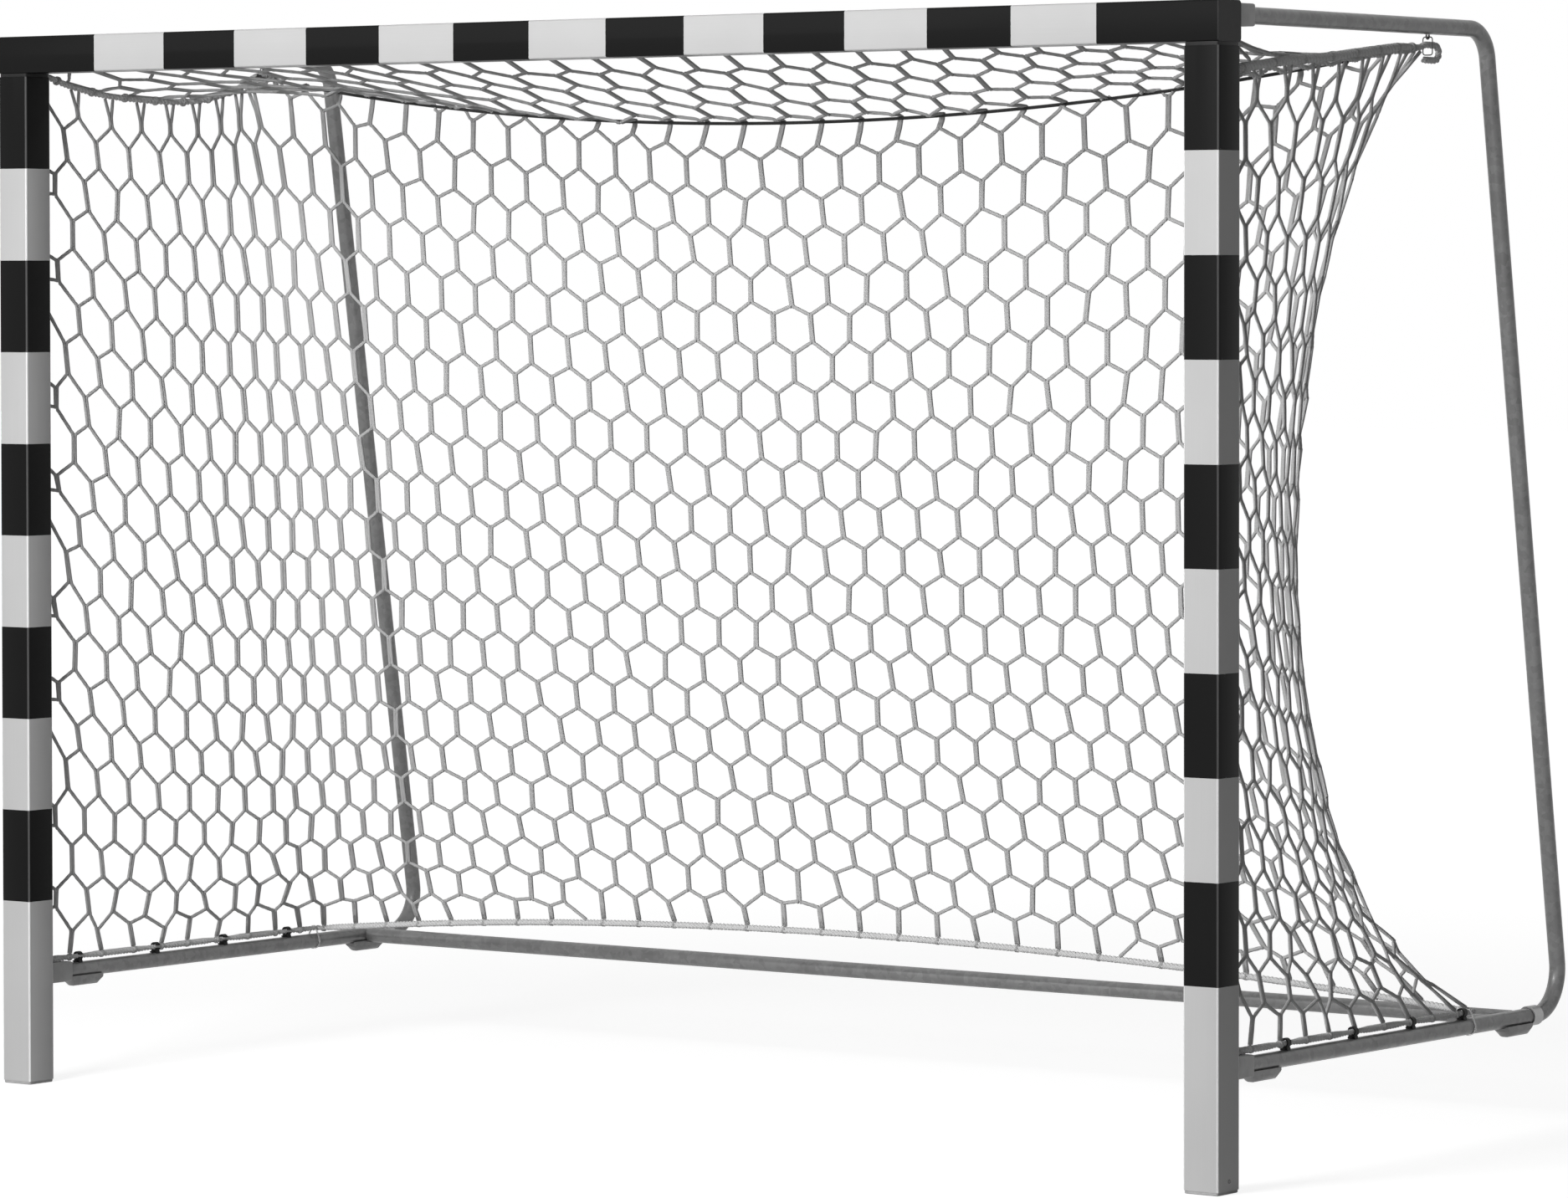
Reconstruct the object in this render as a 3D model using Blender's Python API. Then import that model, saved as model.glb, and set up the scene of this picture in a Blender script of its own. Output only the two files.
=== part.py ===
"""Handball goal: square aluminium frame, steel net hoops and ground frame, and a knotless net.

Metres, +Z up, +X to the right seen from in front, +Y into the goal. The origin is at floor level in the
plane of the goal mouth, midway between the posts, which reach below the floor into their sleeves.
"""

import math

import bmesh
import bpy
from mathutils import Matrix, Vector

# Goal mouth
OPENING_WIDTH = 3.0
OPENING_HEIGHT = 2.0
SLEEVE_DEPTH = 0.2
CORNER_JOINT = 0.0075
CLEAR = 0.0003

# Square extrusion with a net groove in its rear face
PROFILE = 0.08
PROFILE_WALL = 0.003
FRONT_RADIUS = 0.004
REAR_RADIUS = 0.008
GROOVE_MOUTH = 0.009
GROOVE_LIP = 0.0025
GROOVE_WIDTH = 0.013
GROOVE_DEPTH = 0.008
GROOVE_WALL = 0.002

# Caps, corner connectors and their fasteners
CAP_THICKNESS = 0.003
FOOT_THICKNESS = 0.006
PLUG_DEPTH = 0.025
CAP_BEVEL = 0.0015
SPIGOT_LENGTH = 0.14
CONNECTOR_INSET = 0.0015
CORNER_BOLT_RADIUS = 0.005
CORNER_BOLT_GRIP = 0.03
CORNER_HEAD_RADIUS = 0.008
CORNER_HEAD_HEIGHT = 0.009
FOOT_RIVET_RADIUS = 0.0024
RIVET_HEAD_RADIUS = 0.0043
RIVET_GRIP = 0.007
FOOT_RIVET_HEIGHT = 0.025
RIVET_HEAD = 0.0016

# Steel tube of the net frame
TUBE_RADIUS = 0.01685
TUBE_WALL = 0.0026
UPPER_ARM_RAISE = 0.0145
GROUND_HEIGHT = 0.035
HOOP_TOP_REACH = 1.06
HOOP_BOTTOM_REACH = 1.375
HOOP_TOP_BEND = 0.07
HOOP_BOTTOM_BEND = 0.09
BEND_STEPS = 6
TUBE_SIDES = 16

# Sockets that hold the tubes on the posts and the crossbar
BRACKET_SIDE = 0.044
BRACKET_LENGTH = 0.08
BRACKET_BASE = 0.01
BRACKET_EDGE = 0.004
BOLT_CLEARANCE = 0.0003
UPPER_BOLT_RADIUS = 0.003
UPPER_HEAD_RADIUS = 0.005
UPPER_HEAD_HEIGHT = 0.006
UPPER_NUT_ACROSS = 0.01
UPPER_NUT_HEIGHT = 0.005
UPPER_BOLT_TIP = 0.004
LOWER_BOLT_RADIUS = 0.004
LOWER_NUT_ACROSS = 0.013
LOWER_NUT_HEIGHT = 0.0065
LOWER_BOLT_TIP = 0.002
T_HEAD_LENGTH = 0.02
T_HEAD_THICKNESS = 0.005
BOLT_ROOM = 0.012

# Sleeves, skid pads and the rear tube
SLEEVE_LENGTH = 0.034
SLEEVE_WALL = 0.0035
REAR_TUBE_SETBACK = 0.07
PAD_LENGTH = 0.1
PAD_HALF_WIDTH = 0.0165
PAD_TAPER = 0.014
PAD_TAPER_LIFT = 0.5
PAD_ROUND = 0.011
PAD_GAP = 0.004

# Net clips on the ground tubes: place of each as a share of the run from the post's rear to the tie
CLIP_SHARES = {"left": (0.1304, 0.4076, 0.6576, 0.8967), "right": (0.2446, 0.5163, 0.7554, 0.9728)}
CLIP_LENGTH = 0.012
CLIP_BASE = 0.003
CLIP_BASE_HALF_WIDTH = 0.008
CLIP_OUTER_RADIUS = 0.01
CLIP_INNER_RADIUS = 0.007
CLIP_SLOT_DEGREES = 22
CLIP_NECK_DEGREES = 50
CLIP_TAB_LENGTH = 0.009
CLIP_TAB_WIDTH = 0.007

# Ropes, the tie at each lower corner and the black cord
ROPE_RADIUS = 0.0055
ROPE_REST = 0.0006
UPPER_ROPE_RADIUS = 0.007
CORD_RADIUS = 0.003
TIE_SETBACK = 0.183
TIE_WIDTH = 0.005
TIE_THICKNESS = 0.0012
KNOT_PLACE = 0.8
KNOT_RADIUS = 0.007
KNOT_DROP = 0.006
CORD_SAG = 0.128
CORD_BOW = 0.06

# Eye under each upper arm and the wire link that hangs in it
EYE_PLACE = 0.835
EYE_WIRE = 0.002
EYE_HALF_WIDTH = 0.005
EYE_DROP = 0.009
LINK_WIRE = 0.00125
LINK_WIDTH = 0.022
LINK_LENGTH = 0.036
LINK_BEND = 0.005
ROPE_BELOW_HINGE = 0.016
ROPE_LOOP_RADIUS = 0.015
ROPE_LOOP_REACH = 0.027
ROPE_LEVEL = 0.012
ROPE_TAIL = 0.015

# Net: strands of flat braid, six-sided gaps
STRAND_HALF_WIDTH = 0.005
STRAND_THICKNESS = 0.005
BACK_COLUMNS = 10
SIDE_COLUMNS = 4
ROOF_ROWS = 3
NET_ROWS = 8
ZIGZAG = 1 / 6
CORNER_TOP_SETBACK = 0.01
CORNER_BOTTOM_REACH = 0.02
CORNER_BOTTOM_INSET = 0.015
CORNER_ROPE_INSET = 0.03
CORNER_DRAW = 0.22
DRAW_REACH = 0.5
HEM_BOW = 0.07
HEM_RISE = 0.078
ROOF_HALF_WIDTH = 1.49
HEM_MARGIN = 0.005
NET_MARGIN = 0.0013

# Upper hem ropes from the post to just before the link: distance from the goal line at each of these
# points, and on each side how far the rope hangs below the middle of the hoop's upper arm
HEM_PLACES = (0.084, 0.13, 0.19, 0.3, 0.44, 0.56, 0.65, 0.74)
HEM_DROPS = {
    "left": (0.052, 0.064, 0.079, 0.096, 0.104, 0.1045, 0.095, 0.072),
    "right": (0.109, 0.103, 0.096, 0.084, 0.074, 0.062, 0.053, 0.045),
}

# Places that follow from the sizes above
POST_X = OPENING_WIDTH / 2 + PROFILE / 2
BAR_BOTTOM = OPENING_HEIGHT + CORNER_JOINT
BAR_AXIS_Z = BAR_BOTTOM + PROFILE / 2
BAR_HALF_LENGTH = OPENING_WIDTH / 2 + PROFILE
UPPER_ARM_Z = BAR_AXIS_Z + UPPER_ARM_RAISE
BRACKET_FRONT = PROFILE + CLEAR
BRACKET_END = BRACKET_FRONT + BRACKET_LENGTH
TUBE_START = BRACKET_FRONT + BRACKET_BASE + BOLT_ROOM
TUBE_TOP = GROUND_HEIGHT + TUBE_RADIUS
CLIP_CENTRE_Z = TUBE_TOP + CLIP_BASE + CLIP_OUTER_RADIUS
CLIP_TOP_Z = CLIP_CENTRE_Z + CLIP_OUTER_RADIUS
ROPE_Z = CLIP_CENTRE_Z - (CLIP_INNER_RADIUS - ROPE_RADIUS - ROPE_REST)
LINK_HINGE_Z = UPPER_ARM_Z - TUBE_RADIUS - EYE_DROP + EYE_WIRE + LINK_WIRE + CLEAR
LOOP_Z = LINK_HINGE_Z - ROPE_BELOW_HINGE
NET_OFFSET = GROOVE_MOUTH / 2 + STRAND_THICKNESS / 2 + CLEAR
NET_EDGE_X = POST_X + NET_OFFSET
CORNER_TOP_PLACE = KNOT_PLACE - CORNER_TOP_SETBACK
ROOF_EDGE_Z = BAR_AXIS_Z - NET_OFFSET
SEAM = STRAND_THICKNESS / 2 + CLEAR
SIDES = {"left": -1, "right": 1}


def clear_scene():
    for obj in list(bpy.data.objects):
        bpy.data.objects.remove(obj, do_unlink=True)


def material(name, colour, roughness, metallic):
    made = bpy.data.materials.new(name)
    made.use_nodes = True
    shader = made.node_tree.nodes["Principled BSDF"]
    shader.inputs["Base Color"].default_value = (*colour, 1)
    shader.inputs["Roughness"].default_value = roughness
    shader.inputs["Metallic"].default_value = metallic
    made.diffuse_color = (*colour, 1)
    return made


def add_object(name, mesh, surface):
    obj = bpy.data.objects.new(name, mesh)
    bpy.context.scene.collection.objects.link(obj)
    if surface is not None:
        mesh.materials.append(surface)
    return obj


def finished(name, bm, surface, place=None):
    """The object made of bm, with outward faces and smooth shading broken at sharp edges."""
    if place is not None:
        bm.transform(place)
        bm.normal_update()
    bmesh.ops.recalc_face_normals(bm, faces=bm.faces)
    mesh = bpy.data.meshes.new(name)
    bm.to_mesh(mesh)
    bm.free()
    mesh.shade_smooth()
    mesh.set_sharp_from_angle(angle=math.radians(35))
    return add_object(name, mesh, surface)


# Outlines

def arc(centre, radius, start, end, steps):
    """Points from start to end in degrees, both included."""
    points = []
    for step in range(steps + 1):
        angle = math.radians(start + (end - start) * step / steps)
        points.append((centre[0] + radius * math.cos(angle), centre[1] + radius * math.sin(angle)))
    return points


def profile_outline():
    """The extrusion's outer outline, centred across, with its front at 0 and its groove at PROFILE."""
    half = PROFILE / 2
    front = FRONT_RADIUS
    rear = REAR_RADIUS
    lip = PROFILE - GROOVE_LIP
    floor = lip - GROOVE_DEPTH
    mouth = GROOVE_MOUTH / 2
    cavity = GROOVE_WIDTH / 2
    outline = arc((-half + front, front), front, 180, 270, 3)
    outline += arc((half - front, front), front, 270, 360, 3)
    outline += arc((half - rear, PROFILE - rear), rear, 0, 90, 4)
    outline += [(mouth, PROFILE), (mouth, lip), (cavity, lip), (cavity, floor)]
    outline += [(-cavity, floor), (-cavity, lip), (-mouth, lip), (-mouth, PROFILE)]
    outline += arc((-half + rear, PROFILE - rear), rear, 90, 180, 4)
    return outline


def hollow_floor():
    """How far back the hollow reaches behind the groove."""
    return PROFILE - GROOVE_LIP - GROOVE_DEPTH - GROOVE_WALL


def profile_hollow():
    """The extrusion's inner outline, stepped round the groove."""
    half = PROFILE / 2 - PROFILE_WALL
    rear = PROFILE - PROFILE_WALL
    bump = GROOVE_WIDTH / 2 + GROOVE_WALL
    return [
        (-half, PROFILE_WALL),
        (half, PROFILE_WALL),
        (half, rear),
        (bump, rear),
        (bump, hollow_floor()),
        (-bump, hollow_floor()),
        (-bump, rear),
        (-half, rear),
    ]


def rounded_square(inset):
    """The profile's outer square without its groove, drawn in by inset."""
    half = PROFILE / 2 - inset
    front = FRONT_RADIUS
    rear = REAR_RADIUS
    low = inset
    high = PROFILE - inset
    outline = arc((-half + front, low + front), front, 180, 270, 3)
    outline += arc((half - front, low + front), front, 270, 360, 3)
    outline += arc((half - rear, high - rear), rear, 0, 90, 4)
    outline += arc((-half + rear, high - rear), rear, 90, 180, 4)
    return outline


def plug_outline(inset):
    """A rectangle that slides into the hollow in front of the groove."""
    half = PROFILE / 2 - PROFILE_WALL - inset
    low = PROFILE_WALL + inset
    high = hollow_floor() - inset
    return [(-half, low), (half, low), (half, high), (-half, high)]


# Solids

def prism_mesh(loops, depth):
    """A prism along +Z from 0 to depth, whose outline is the first loop and whose holes are the others."""
    bm = bmesh.new()
    edges = []
    for loop in loops:
        corners = [bm.verts.new((x, y, 0)) for x, y in loop]
        for corner, following in zip(corners, corners[1:] + corners[:1]):
            edges.append(bm.edges.new((corner, following)))
    bmesh.ops.triangle_fill(bm, use_beauty=True, edges=edges, normal=(0, 0, 1))
    grown = bmesh.ops.extrude_face_region(bm, geom=list(bm.faces), use_keep_orig=True)
    raised = [item for item in grown["geom"] if isinstance(item, bmesh.types.BMVert)]
    bmesh.ops.translate(bm, verts=raised, vec=(0, 0, depth))
    return bm


def upright(x, z):
    """Sets a prism upright at x, with its foot at z and its groove towards +Y."""
    return Matrix.Translation((x, 0, z))


def crosswise(x, z):
    """Lays a prism along +X from x, with its centre at height z and its groove towards +Y."""
    turned = Matrix(((0, 0, 1, x), (0, 1, 0, 0), (-1, 0, 0, z), (0, 0, 0, 1)))
    return turned


def lengthwise(x, y, z):
    """Lays a prism along +Y from y: its outline's own axes become X and Z."""
    return Matrix(((1, 0, 0, x), (0, 0, 1, y), (0, 1, 0, z), (0, 0, 0, 1)))


def turned_mesh(profile, steps):
    """A solid turned round Z from (radius, height) points. Points on the axis close it."""
    bm = bmesh.new()
    corners = [bm.verts.new((radius, 0, height)) for radius, height in profile]
    edges = [bm.edges.new(pair) for pair in zip(corners, corners[1:])]
    if profile[0][0] > 0:
        edges.append(bm.edges.new((corners[-1], corners[0])))
    bmesh.ops.spin(
        bm,
        geom=corners + edges,
        cent=(0, 0, 0),
        axis=(0, 0, 1),
        angle=2 * math.pi,
        steps=steps,
        use_merge=True,
    )
    bmesh.ops.remove_doubles(bm, verts=bm.verts, dist=1e-6)
    return bm


def box_mesh(low, high, edge=0.0, segments=2):
    """A box between two corners, with rounded edges where edge is given."""
    bm = bmesh.new()
    bmesh.ops.create_cube(bm, size=1)
    for vert in bm.verts:
        vert.co = Vector(low[axis] if vert.co[axis] < 0 else high[axis] for axis in range(3))
    if edge:
        bmesh.ops.bevel(bm, geom=bm.edges[:], offset=edge, segments=segments, profile=0.5, affect="EDGES")
    return bm


def tube_mesh(path, outer, inner, across, sides):
    """An open tube along a flat path, whose plane's normal is across."""
    bm = bmesh.new()
    rings = []
    for index, point in enumerate(path):
        before = path[max(index - 1, 0)]
        after = path[min(index + 1, len(path) - 1)]
        along = (after - before).normalized()
        normal = along.cross(across).normalized()
        turns = [2 * math.pi * side / sides for side in range(sides)]
        arms = [across * math.cos(turn) + normal * math.sin(turn) for turn in turns]
        rings.append(
            (
                [bm.verts.new(point + arm * outer) for arm in arms],
                [bm.verts.new(point + arm * inner) for arm in arms],
            )
        )
    for side in range(sides):
        following = (side + 1) % sides
        for (low_out, low_in), (high_out, high_in) in zip(rings, rings[1:]):
            bm.faces.new((low_out[side], low_out[following], high_out[following], high_out[side]))
            bm.faces.new((low_in[side], high_in[side], high_in[following], low_in[following]))
        for outside, inside in (rings[0], rings[-1]):
            bm.faces.new((outside[side], outside[following], inside[following], inside[side]))
    return bm


def cord(name, points, radius, surface, cyclic=False, resolution=2):
    """A round cord through the points, as a curve with filled ends."""
    curve = bpy.data.curves.new(name, "CURVE")
    curve.dimensions = "3D"
    curve.bevel_depth = radius
    curve.bevel_resolution = resolution
    curve.use_fill_caps = not cyclic
    spline = curve.splines.new("POLY")
    spline.points.add(len(points) - 1)
    for place, point in zip(spline.points, points):
        place.co = (*point, 1)
    spline.use_cyclic_u = cyclic
    spline.use_smooth = True
    curve.materials.append(surface)
    obj = bpy.data.objects.new(name, curve)
    bpy.context.scene.collection.objects.link(obj)
    return obj


def combine(obj, name, bm, operation, place=None):
    """Cuts or joins a hidden tool solid to obj with a Boolean modifier."""
    tool = finished(f"tool_{obj.name}_{name}", bm, None, place)
    tool.hide_render = True
    tool.display_type = "WIRE"
    modifier = obj.modifiers.new(name, "BOOLEAN")
    modifier.operation = operation
    modifier.solver = "EXACT"
    modifier.object = tool
    return obj


def drill(obj, name, centre, axis, radius, length, steps=16):
    """Cuts a round hole of this length, centred on a point, along an axis."""
    bit = turned_mesh(((0, -length / 2), (radius, -length / 2), (radius, length / 2), (0, length / 2)), steps)
    turn = Vector((0, 0, 1)).rotation_difference(Vector(axis)).to_matrix().to_4x4()
    combine(obj, name, bit, "DIFFERENCE", Matrix.Translation(centre) @ turn)


# Curves

def smooth(points, count):
    """Count points, evenly counted along a Catmull-Rom curve through the given ones."""
    ends = [points[0] * 2 - points[1]] + list(points) + [points[-1] * 2 - points[-2]]
    spans = len(points) - 1
    made = []
    for index in range(count):
        along = index * spans / (count - 1)
        span = min(int(along), spans - 1)
        t = along - span
        a, b, c, d = ends[span : span + 4]
        made.append(
            (b * 2 + (c - a) * t + (a * 2 - b * 5 + c * 4 - d) * t**2 + (b * 3 - a - c * 3 + d) * t**3) / 2
        )
    return made


def bent_path(corners, radii, steps):
    """A path through the corners, with each inner corner rounded to its bend radius."""
    path = [corners[0]]
    for before, corner, after, radius in zip(corners, corners[1:], corners[2:], radii):
        towards = (corner - before).normalized()
        away = (after - corner).normalized()
        turn = towards.angle(away)
        start = corner - towards * radius * math.tan(turn / 2)
        inward = (away - towards * towards.dot(away)).normalized()
        for step in range(steps + 1):
            angle = turn * step / steps
            path.append(start + towards * radius * math.sin(angle) + inward * radius * (1 - math.cos(angle)))
    return path + [corners[-1]]


# Aluminium frame

def make_crossbar(surface):
    length = 2 * (BAR_HALF_LENGTH - CAP_THICKNESS - CLEAR)
    bm = prism_mesh([profile_outline(), profile_hollow()], length)
    bar = finished("crossbar", bm, surface, crosswise(-length / 2, BAR_AXIS_Z))
    for side, sign in SIDES.items():
        x = sign * POST_X
        hole = UPPER_BOLT_RADIUS + BOLT_CLEARANCE
        drill(bar, f"bracket_{side}", (x, PROFILE, UPPER_ARM_Z), (0, 1, 0), hole, 4 * PROFILE_WALL)
        hole = CORNER_BOLT_RADIUS + BOLT_CLEARANCE
        centre = (x, PROFILE / 2, BAR_BOTTOM)
        drill(bar, f"corner_{side}", centre, (0, 0, 1), hole, 4 * PROFILE_WALL)


def make_end_cap(side, sign, surface):
    thickness = CAP_THICKNESS
    plate = prism_mesh([rounded_square(0)], thickness)
    inner_face = BAR_HALF_LENGTH - thickness
    start = inner_face if sign > 0 else -BAR_HALF_LENGTH
    cap = finished(f"crossbar_cap_{side}", plate, surface, crosswise(start, BAR_AXIS_Z))
    plug = prism_mesh([plug_outline(CLEAR)], PLUG_DEPTH + thickness / 2)
    middle = inner_face + thickness / 2
    start = middle - PLUG_DEPTH - thickness / 2 if sign > 0 else -middle
    combine(cap, "plug", plug, "UNION", crosswise(start, BAR_AXIS_Z))


def make_post(side, sign, surface):
    foot = -SLEEVE_DEPTH + FOOT_THICKNESS + CLEAR
    bm = prism_mesh([profile_outline(), profile_hollow()], OPENING_HEIGHT - foot)
    post = finished(f"post_{side}", bm, surface, upright(sign * POST_X, foot))
    centre = (sign * BAR_HALF_LENGTH, PROFILE / 2, -SLEEVE_DEPTH + FOOT_RIVET_HEIGHT)
    drill(post, "rivet", centre, (1, 0, 0), FOOT_RIVET_RADIUS + CLEAR, 4 * PROFILE_WALL)


def make_post_foot(side, sign, surface):
    plate = prism_mesh([rounded_square(CONNECTOR_INSET)], FOOT_THICKNESS)
    lower = [edge for edge in plate.edges if all(vert.co.z == 0 for vert in edge.verts)]
    rim = []
    for edge in lower:
        faces = edge.link_faces
        if len(faces) == 2 and abs(faces[0].normal.dot(faces[1].normal)) < 0.5:
            rim.append(edge)
    bmesh.ops.bevel(plate, geom=rim, offset=CAP_BEVEL, segments=1, affect="EDGES")
    foot = finished(f"post_foot_{side}", plate, surface, upright(sign * POST_X, -SLEEVE_DEPTH))
    depth = PLUG_DEPTH + FOOT_THICKNESS / 2
    plug = prism_mesh([plug_outline(CLEAR)], depth)
    combine(foot, "plug", plug, "UNION", upright(sign * POST_X, -SLEEVE_DEPTH + FOOT_THICKNESS / 2))
    centre = (sign * (BAR_HALF_LENGTH - PROFILE_WALL), PROFILE / 2, -SLEEVE_DEPTH + FOOT_RIVET_HEIGHT)
    drill(foot, "rivet", centre, (1, 0, 0), FOOT_RIVET_RADIUS + CLEAR, 4 * PROFILE_WALL)


def make_foot_rivet(side, sign, surface):
    """A domed rivet through the post's wall into the foot."""
    head = RIVET_HEAD_RADIUS
    profile = (
        (0, -RIVET_GRIP),
        (FOOT_RIVET_RADIUS, -RIVET_GRIP),
        (FOOT_RIVET_RADIUS, CLEAR),
        (head, CLEAR),
        (0.8 * head, RIVET_HEAD),
        (0, RIVET_HEAD + CLEAR),
    )
    turn = Matrix.Rotation(sign * math.pi / 2, 4, "Y")
    place = Matrix.Translation((sign * BAR_HALF_LENGTH, PROFILE / 2, -SLEEVE_DEPTH + FOOT_RIVET_HEIGHT))
    finished(f"foot_rivet_{side}", turned_mesh(profile, 12), surface, place @ turn)


def make_corner_connector(side, sign, surface):
    """The flange between post and crossbar, with a hollow spigot down inside the post."""
    thickness = CORNER_JOINT - 2 * CLEAR
    flange = prism_mesh([rounded_square(CONNECTOR_INSET)], thickness)
    x = sign * POST_X
    connector = finished(f"corner_connector_{side}", flange, surface, upright(x, OPENING_HEIGHT + CLEAR))
    outline = plug_outline(CLEAR)
    spigot = prism_mesh([outline, plug_outline(CLEAR + PROFILE_WALL)], SPIGOT_LENGTH + thickness / 2)
    combine(connector, "spigot", spigot, "UNION", upright(x, OPENING_HEIGHT + CLEAR - SPIGOT_LENGTH))
    hole = CORNER_BOLT_RADIUS + BOLT_CLEARANCE
    drill(connector, "bolt", (x, PROFILE / 2, OPENING_HEIGHT), (0, 0, 1), hole, 4 * CORNER_JOINT)


def make_corner_bolt(side, sign, surface):
    """A cap screw down through the crossbar's lower wall into the connector."""
    seat = PROFILE_WALL + CLEAR
    top = seat + CORNER_HEAD_HEIGHT
    radius = CORNER_BOLT_RADIUS
    profile = (
        (0, -CORNER_BOLT_GRIP),
        (radius, -CORNER_BOLT_GRIP),
        (radius, seat),
        (CORNER_HEAD_RADIUS, seat),
        (CORNER_HEAD_RADIUS, top),
        (0, top),
    )
    place = Matrix.Translation((sign * POST_X, PROFILE / 2, BAR_BOTTOM))
    finished(f"corner_bolt_{side}", turned_mesh(profile, 12), surface, place)


# Brackets of the net frame

def bracket(name, x, z, bolt_radius, surface):
    """A socket block: a tube bore from behind, and a bolt hole through its base."""
    half = BRACKET_SIDE / 2
    low = (x - half, BRACKET_FRONT, z - half)
    high = (x + half, BRACKET_END, z + half)
    block = finished(name, box_mesh(low, high, BRACKET_EDGE), surface)
    bore = BRACKET_LENGTH - BRACKET_BASE
    centre = (x, BRACKET_FRONT + BRACKET_BASE + bore, z)
    drill(block, "socket", centre, (0, 1, 0), TUBE_RADIUS + CLEAR, 2 * bore, TUBE_SIDES)
    drill(block, "bolt", (x, BRACKET_FRONT, z), (0, 1, 0), bolt_radius + BOLT_CLEARANCE, 4 * BRACKET_BASE)


def hex_nut(name, centre, across, height, bore, surface):
    """A nut along +Y from its centre, with two flats level."""
    outer = across / math.sqrt(3)
    outline = arc((0, 0), outer, 0, 300, 5)
    hole = arc((0, 0), bore, 0, 330, 11)
    nut = prism_mesh([outline, hole], height)
    finished(name, nut, surface, lengthwise(*centre))


def make_upper_bracket(side, sign, materials):
    x = sign * POST_X
    bracket(f"upper_bracket_{side}", x, UPPER_ARM_Z, UPPER_BOLT_RADIUS, materials["zinc"])
    head_face = BRACKET_FRONT + BRACKET_BASE + CLEAR
    nut_front = PROFILE - PROFILE_WALL - CLEAR - UPPER_NUT_HEIGHT
    bolt_end = nut_front - UPPER_BOLT_TIP
    radius = UPPER_BOLT_RADIUS
    profile = (
        (0, bolt_end - head_face),
        (radius, bolt_end - head_face),
        (radius, 0),
        (UPPER_HEAD_RADIUS, 0),
        (UPPER_HEAD_RADIUS, UPPER_HEAD_HEIGHT),
        (0, UPPER_HEAD_HEIGHT),
    )
    place = lengthwise(x, head_face, UPPER_ARM_Z)
    finished(f"upper_bolt_{side}", turned_mesh(profile, 12), materials["steel"], place)
    centre = (x, nut_front, UPPER_ARM_Z)
    bore = radius + BOLT_CLEARANCE
    hex_nut(f"upper_nut_{side}", centre, UPPER_NUT_ACROSS, UPPER_NUT_HEIGHT, bore, materials["steel"])


def make_lower_bracket(side, sign, materials):
    """The lower bracket, with a T-bolt whose head sits in the post's groove and a nut inside the socket."""
    x = sign * POST_X
    bracket(f"lower_bracket_{side}", x, GROUND_HEIGHT, LOWER_BOLT_RADIUS, materials["zinc"])
    head_back = PROFILE - GROOVE_LIP - CLEAR
    half = GROOVE_WIDTH / 2 - CLEAR
    low = (x - half, head_back - T_HEAD_THICKNESS, GROUND_HEIGHT - T_HEAD_LENGTH / 2)
    high = (x + half, head_back, GROUND_HEIGHT + T_HEAD_LENGTH / 2)
    bolt = finished(f"groove_bolt_{side}", box_mesh(low, high), materials["steel"])
    nut_face = BRACKET_FRONT + BRACKET_BASE + CLEAR
    start = head_back - T_HEAD_THICKNESS / 2
    end = nut_face + LOWER_NUT_HEIGHT + LOWER_BOLT_TIP
    radius = LOWER_BOLT_RADIUS
    shank = turned_mesh(((0, start), (radius, start), (radius, end), (0, end)), 12)
    combine(bolt, "shank", shank, "UNION", lengthwise(x, 0, GROUND_HEIGHT))
    bore = radius + BOLT_CLEARANCE
    centre = (x, nut_face, GROUND_HEIGHT)
    hex_nut(f"groove_nut_{side}", centre, LOWER_NUT_ACROSS, LOWER_NUT_HEIGHT, bore, materials["steel"])


# Steel net frame

def hoop_corners():
    """The hoop's straight runs meet here, from its upper end to its stub, as (distance, height)."""
    return (
        (TUBE_START, UPPER_ARM_Z),
        (HOOP_TOP_REACH, UPPER_ARM_Z),
        (HOOP_BOTTOM_REACH, GROUND_HEIGHT),
        (TUBE_START, GROUND_HEIGHT),
    )


def bend_end():
    """Where the hoop's lower bend runs out into its stub."""
    corners = [Vector(corner) for corner in hoop_corners()]
    turn = (corners[2] - corners[1]).angle(corners[3] - corners[2])
    return HOOP_BOTTOM_REACH - HOOP_BOTTOM_BEND * math.tan(turn / 2)


def sleeve_middle():
    return bend_end() - SLEEVE_LENGTH / 2


def rear_tube_place():
    return sleeve_middle() - REAR_TUBE_SETBACK


def tie_place():
    return rear_tube_place() - TIE_SETBACK


def corner_bottom_place():
    return tie_place() + CORNER_BOTTOM_REACH


def make_hoop(side, sign, surface):
    x = sign * POST_X
    corners = [Vector((x, y, z)) for y, z in hoop_corners()]
    corners[3].y = sleeve_middle() + CLEAR / 2
    path = bent_path(corners, (HOOP_TOP_BEND, HOOP_BOTTOM_BEND), BEND_STEPS)
    bm = tube_mesh(path, TUBE_RADIUS, TUBE_RADIUS - TUBE_WALL, Vector((1, 0, 0)), TUBE_SIDES)
    finished(f"hoop_{side}", bm, surface)


def make_ground_tube(side, sign, surface):
    x = sign * POST_X
    path = [Vector((x, TUBE_START, GROUND_HEIGHT)), Vector((x, sleeve_middle() - CLEAR / 2, GROUND_HEIGHT))]
    bm = tube_mesh(path, TUBE_RADIUS, TUBE_RADIUS - TUBE_WALL, Vector((1, 0, 0)), TUBE_SIDES)
    finished(f"ground_tube_{side}", bm, surface)


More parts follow.
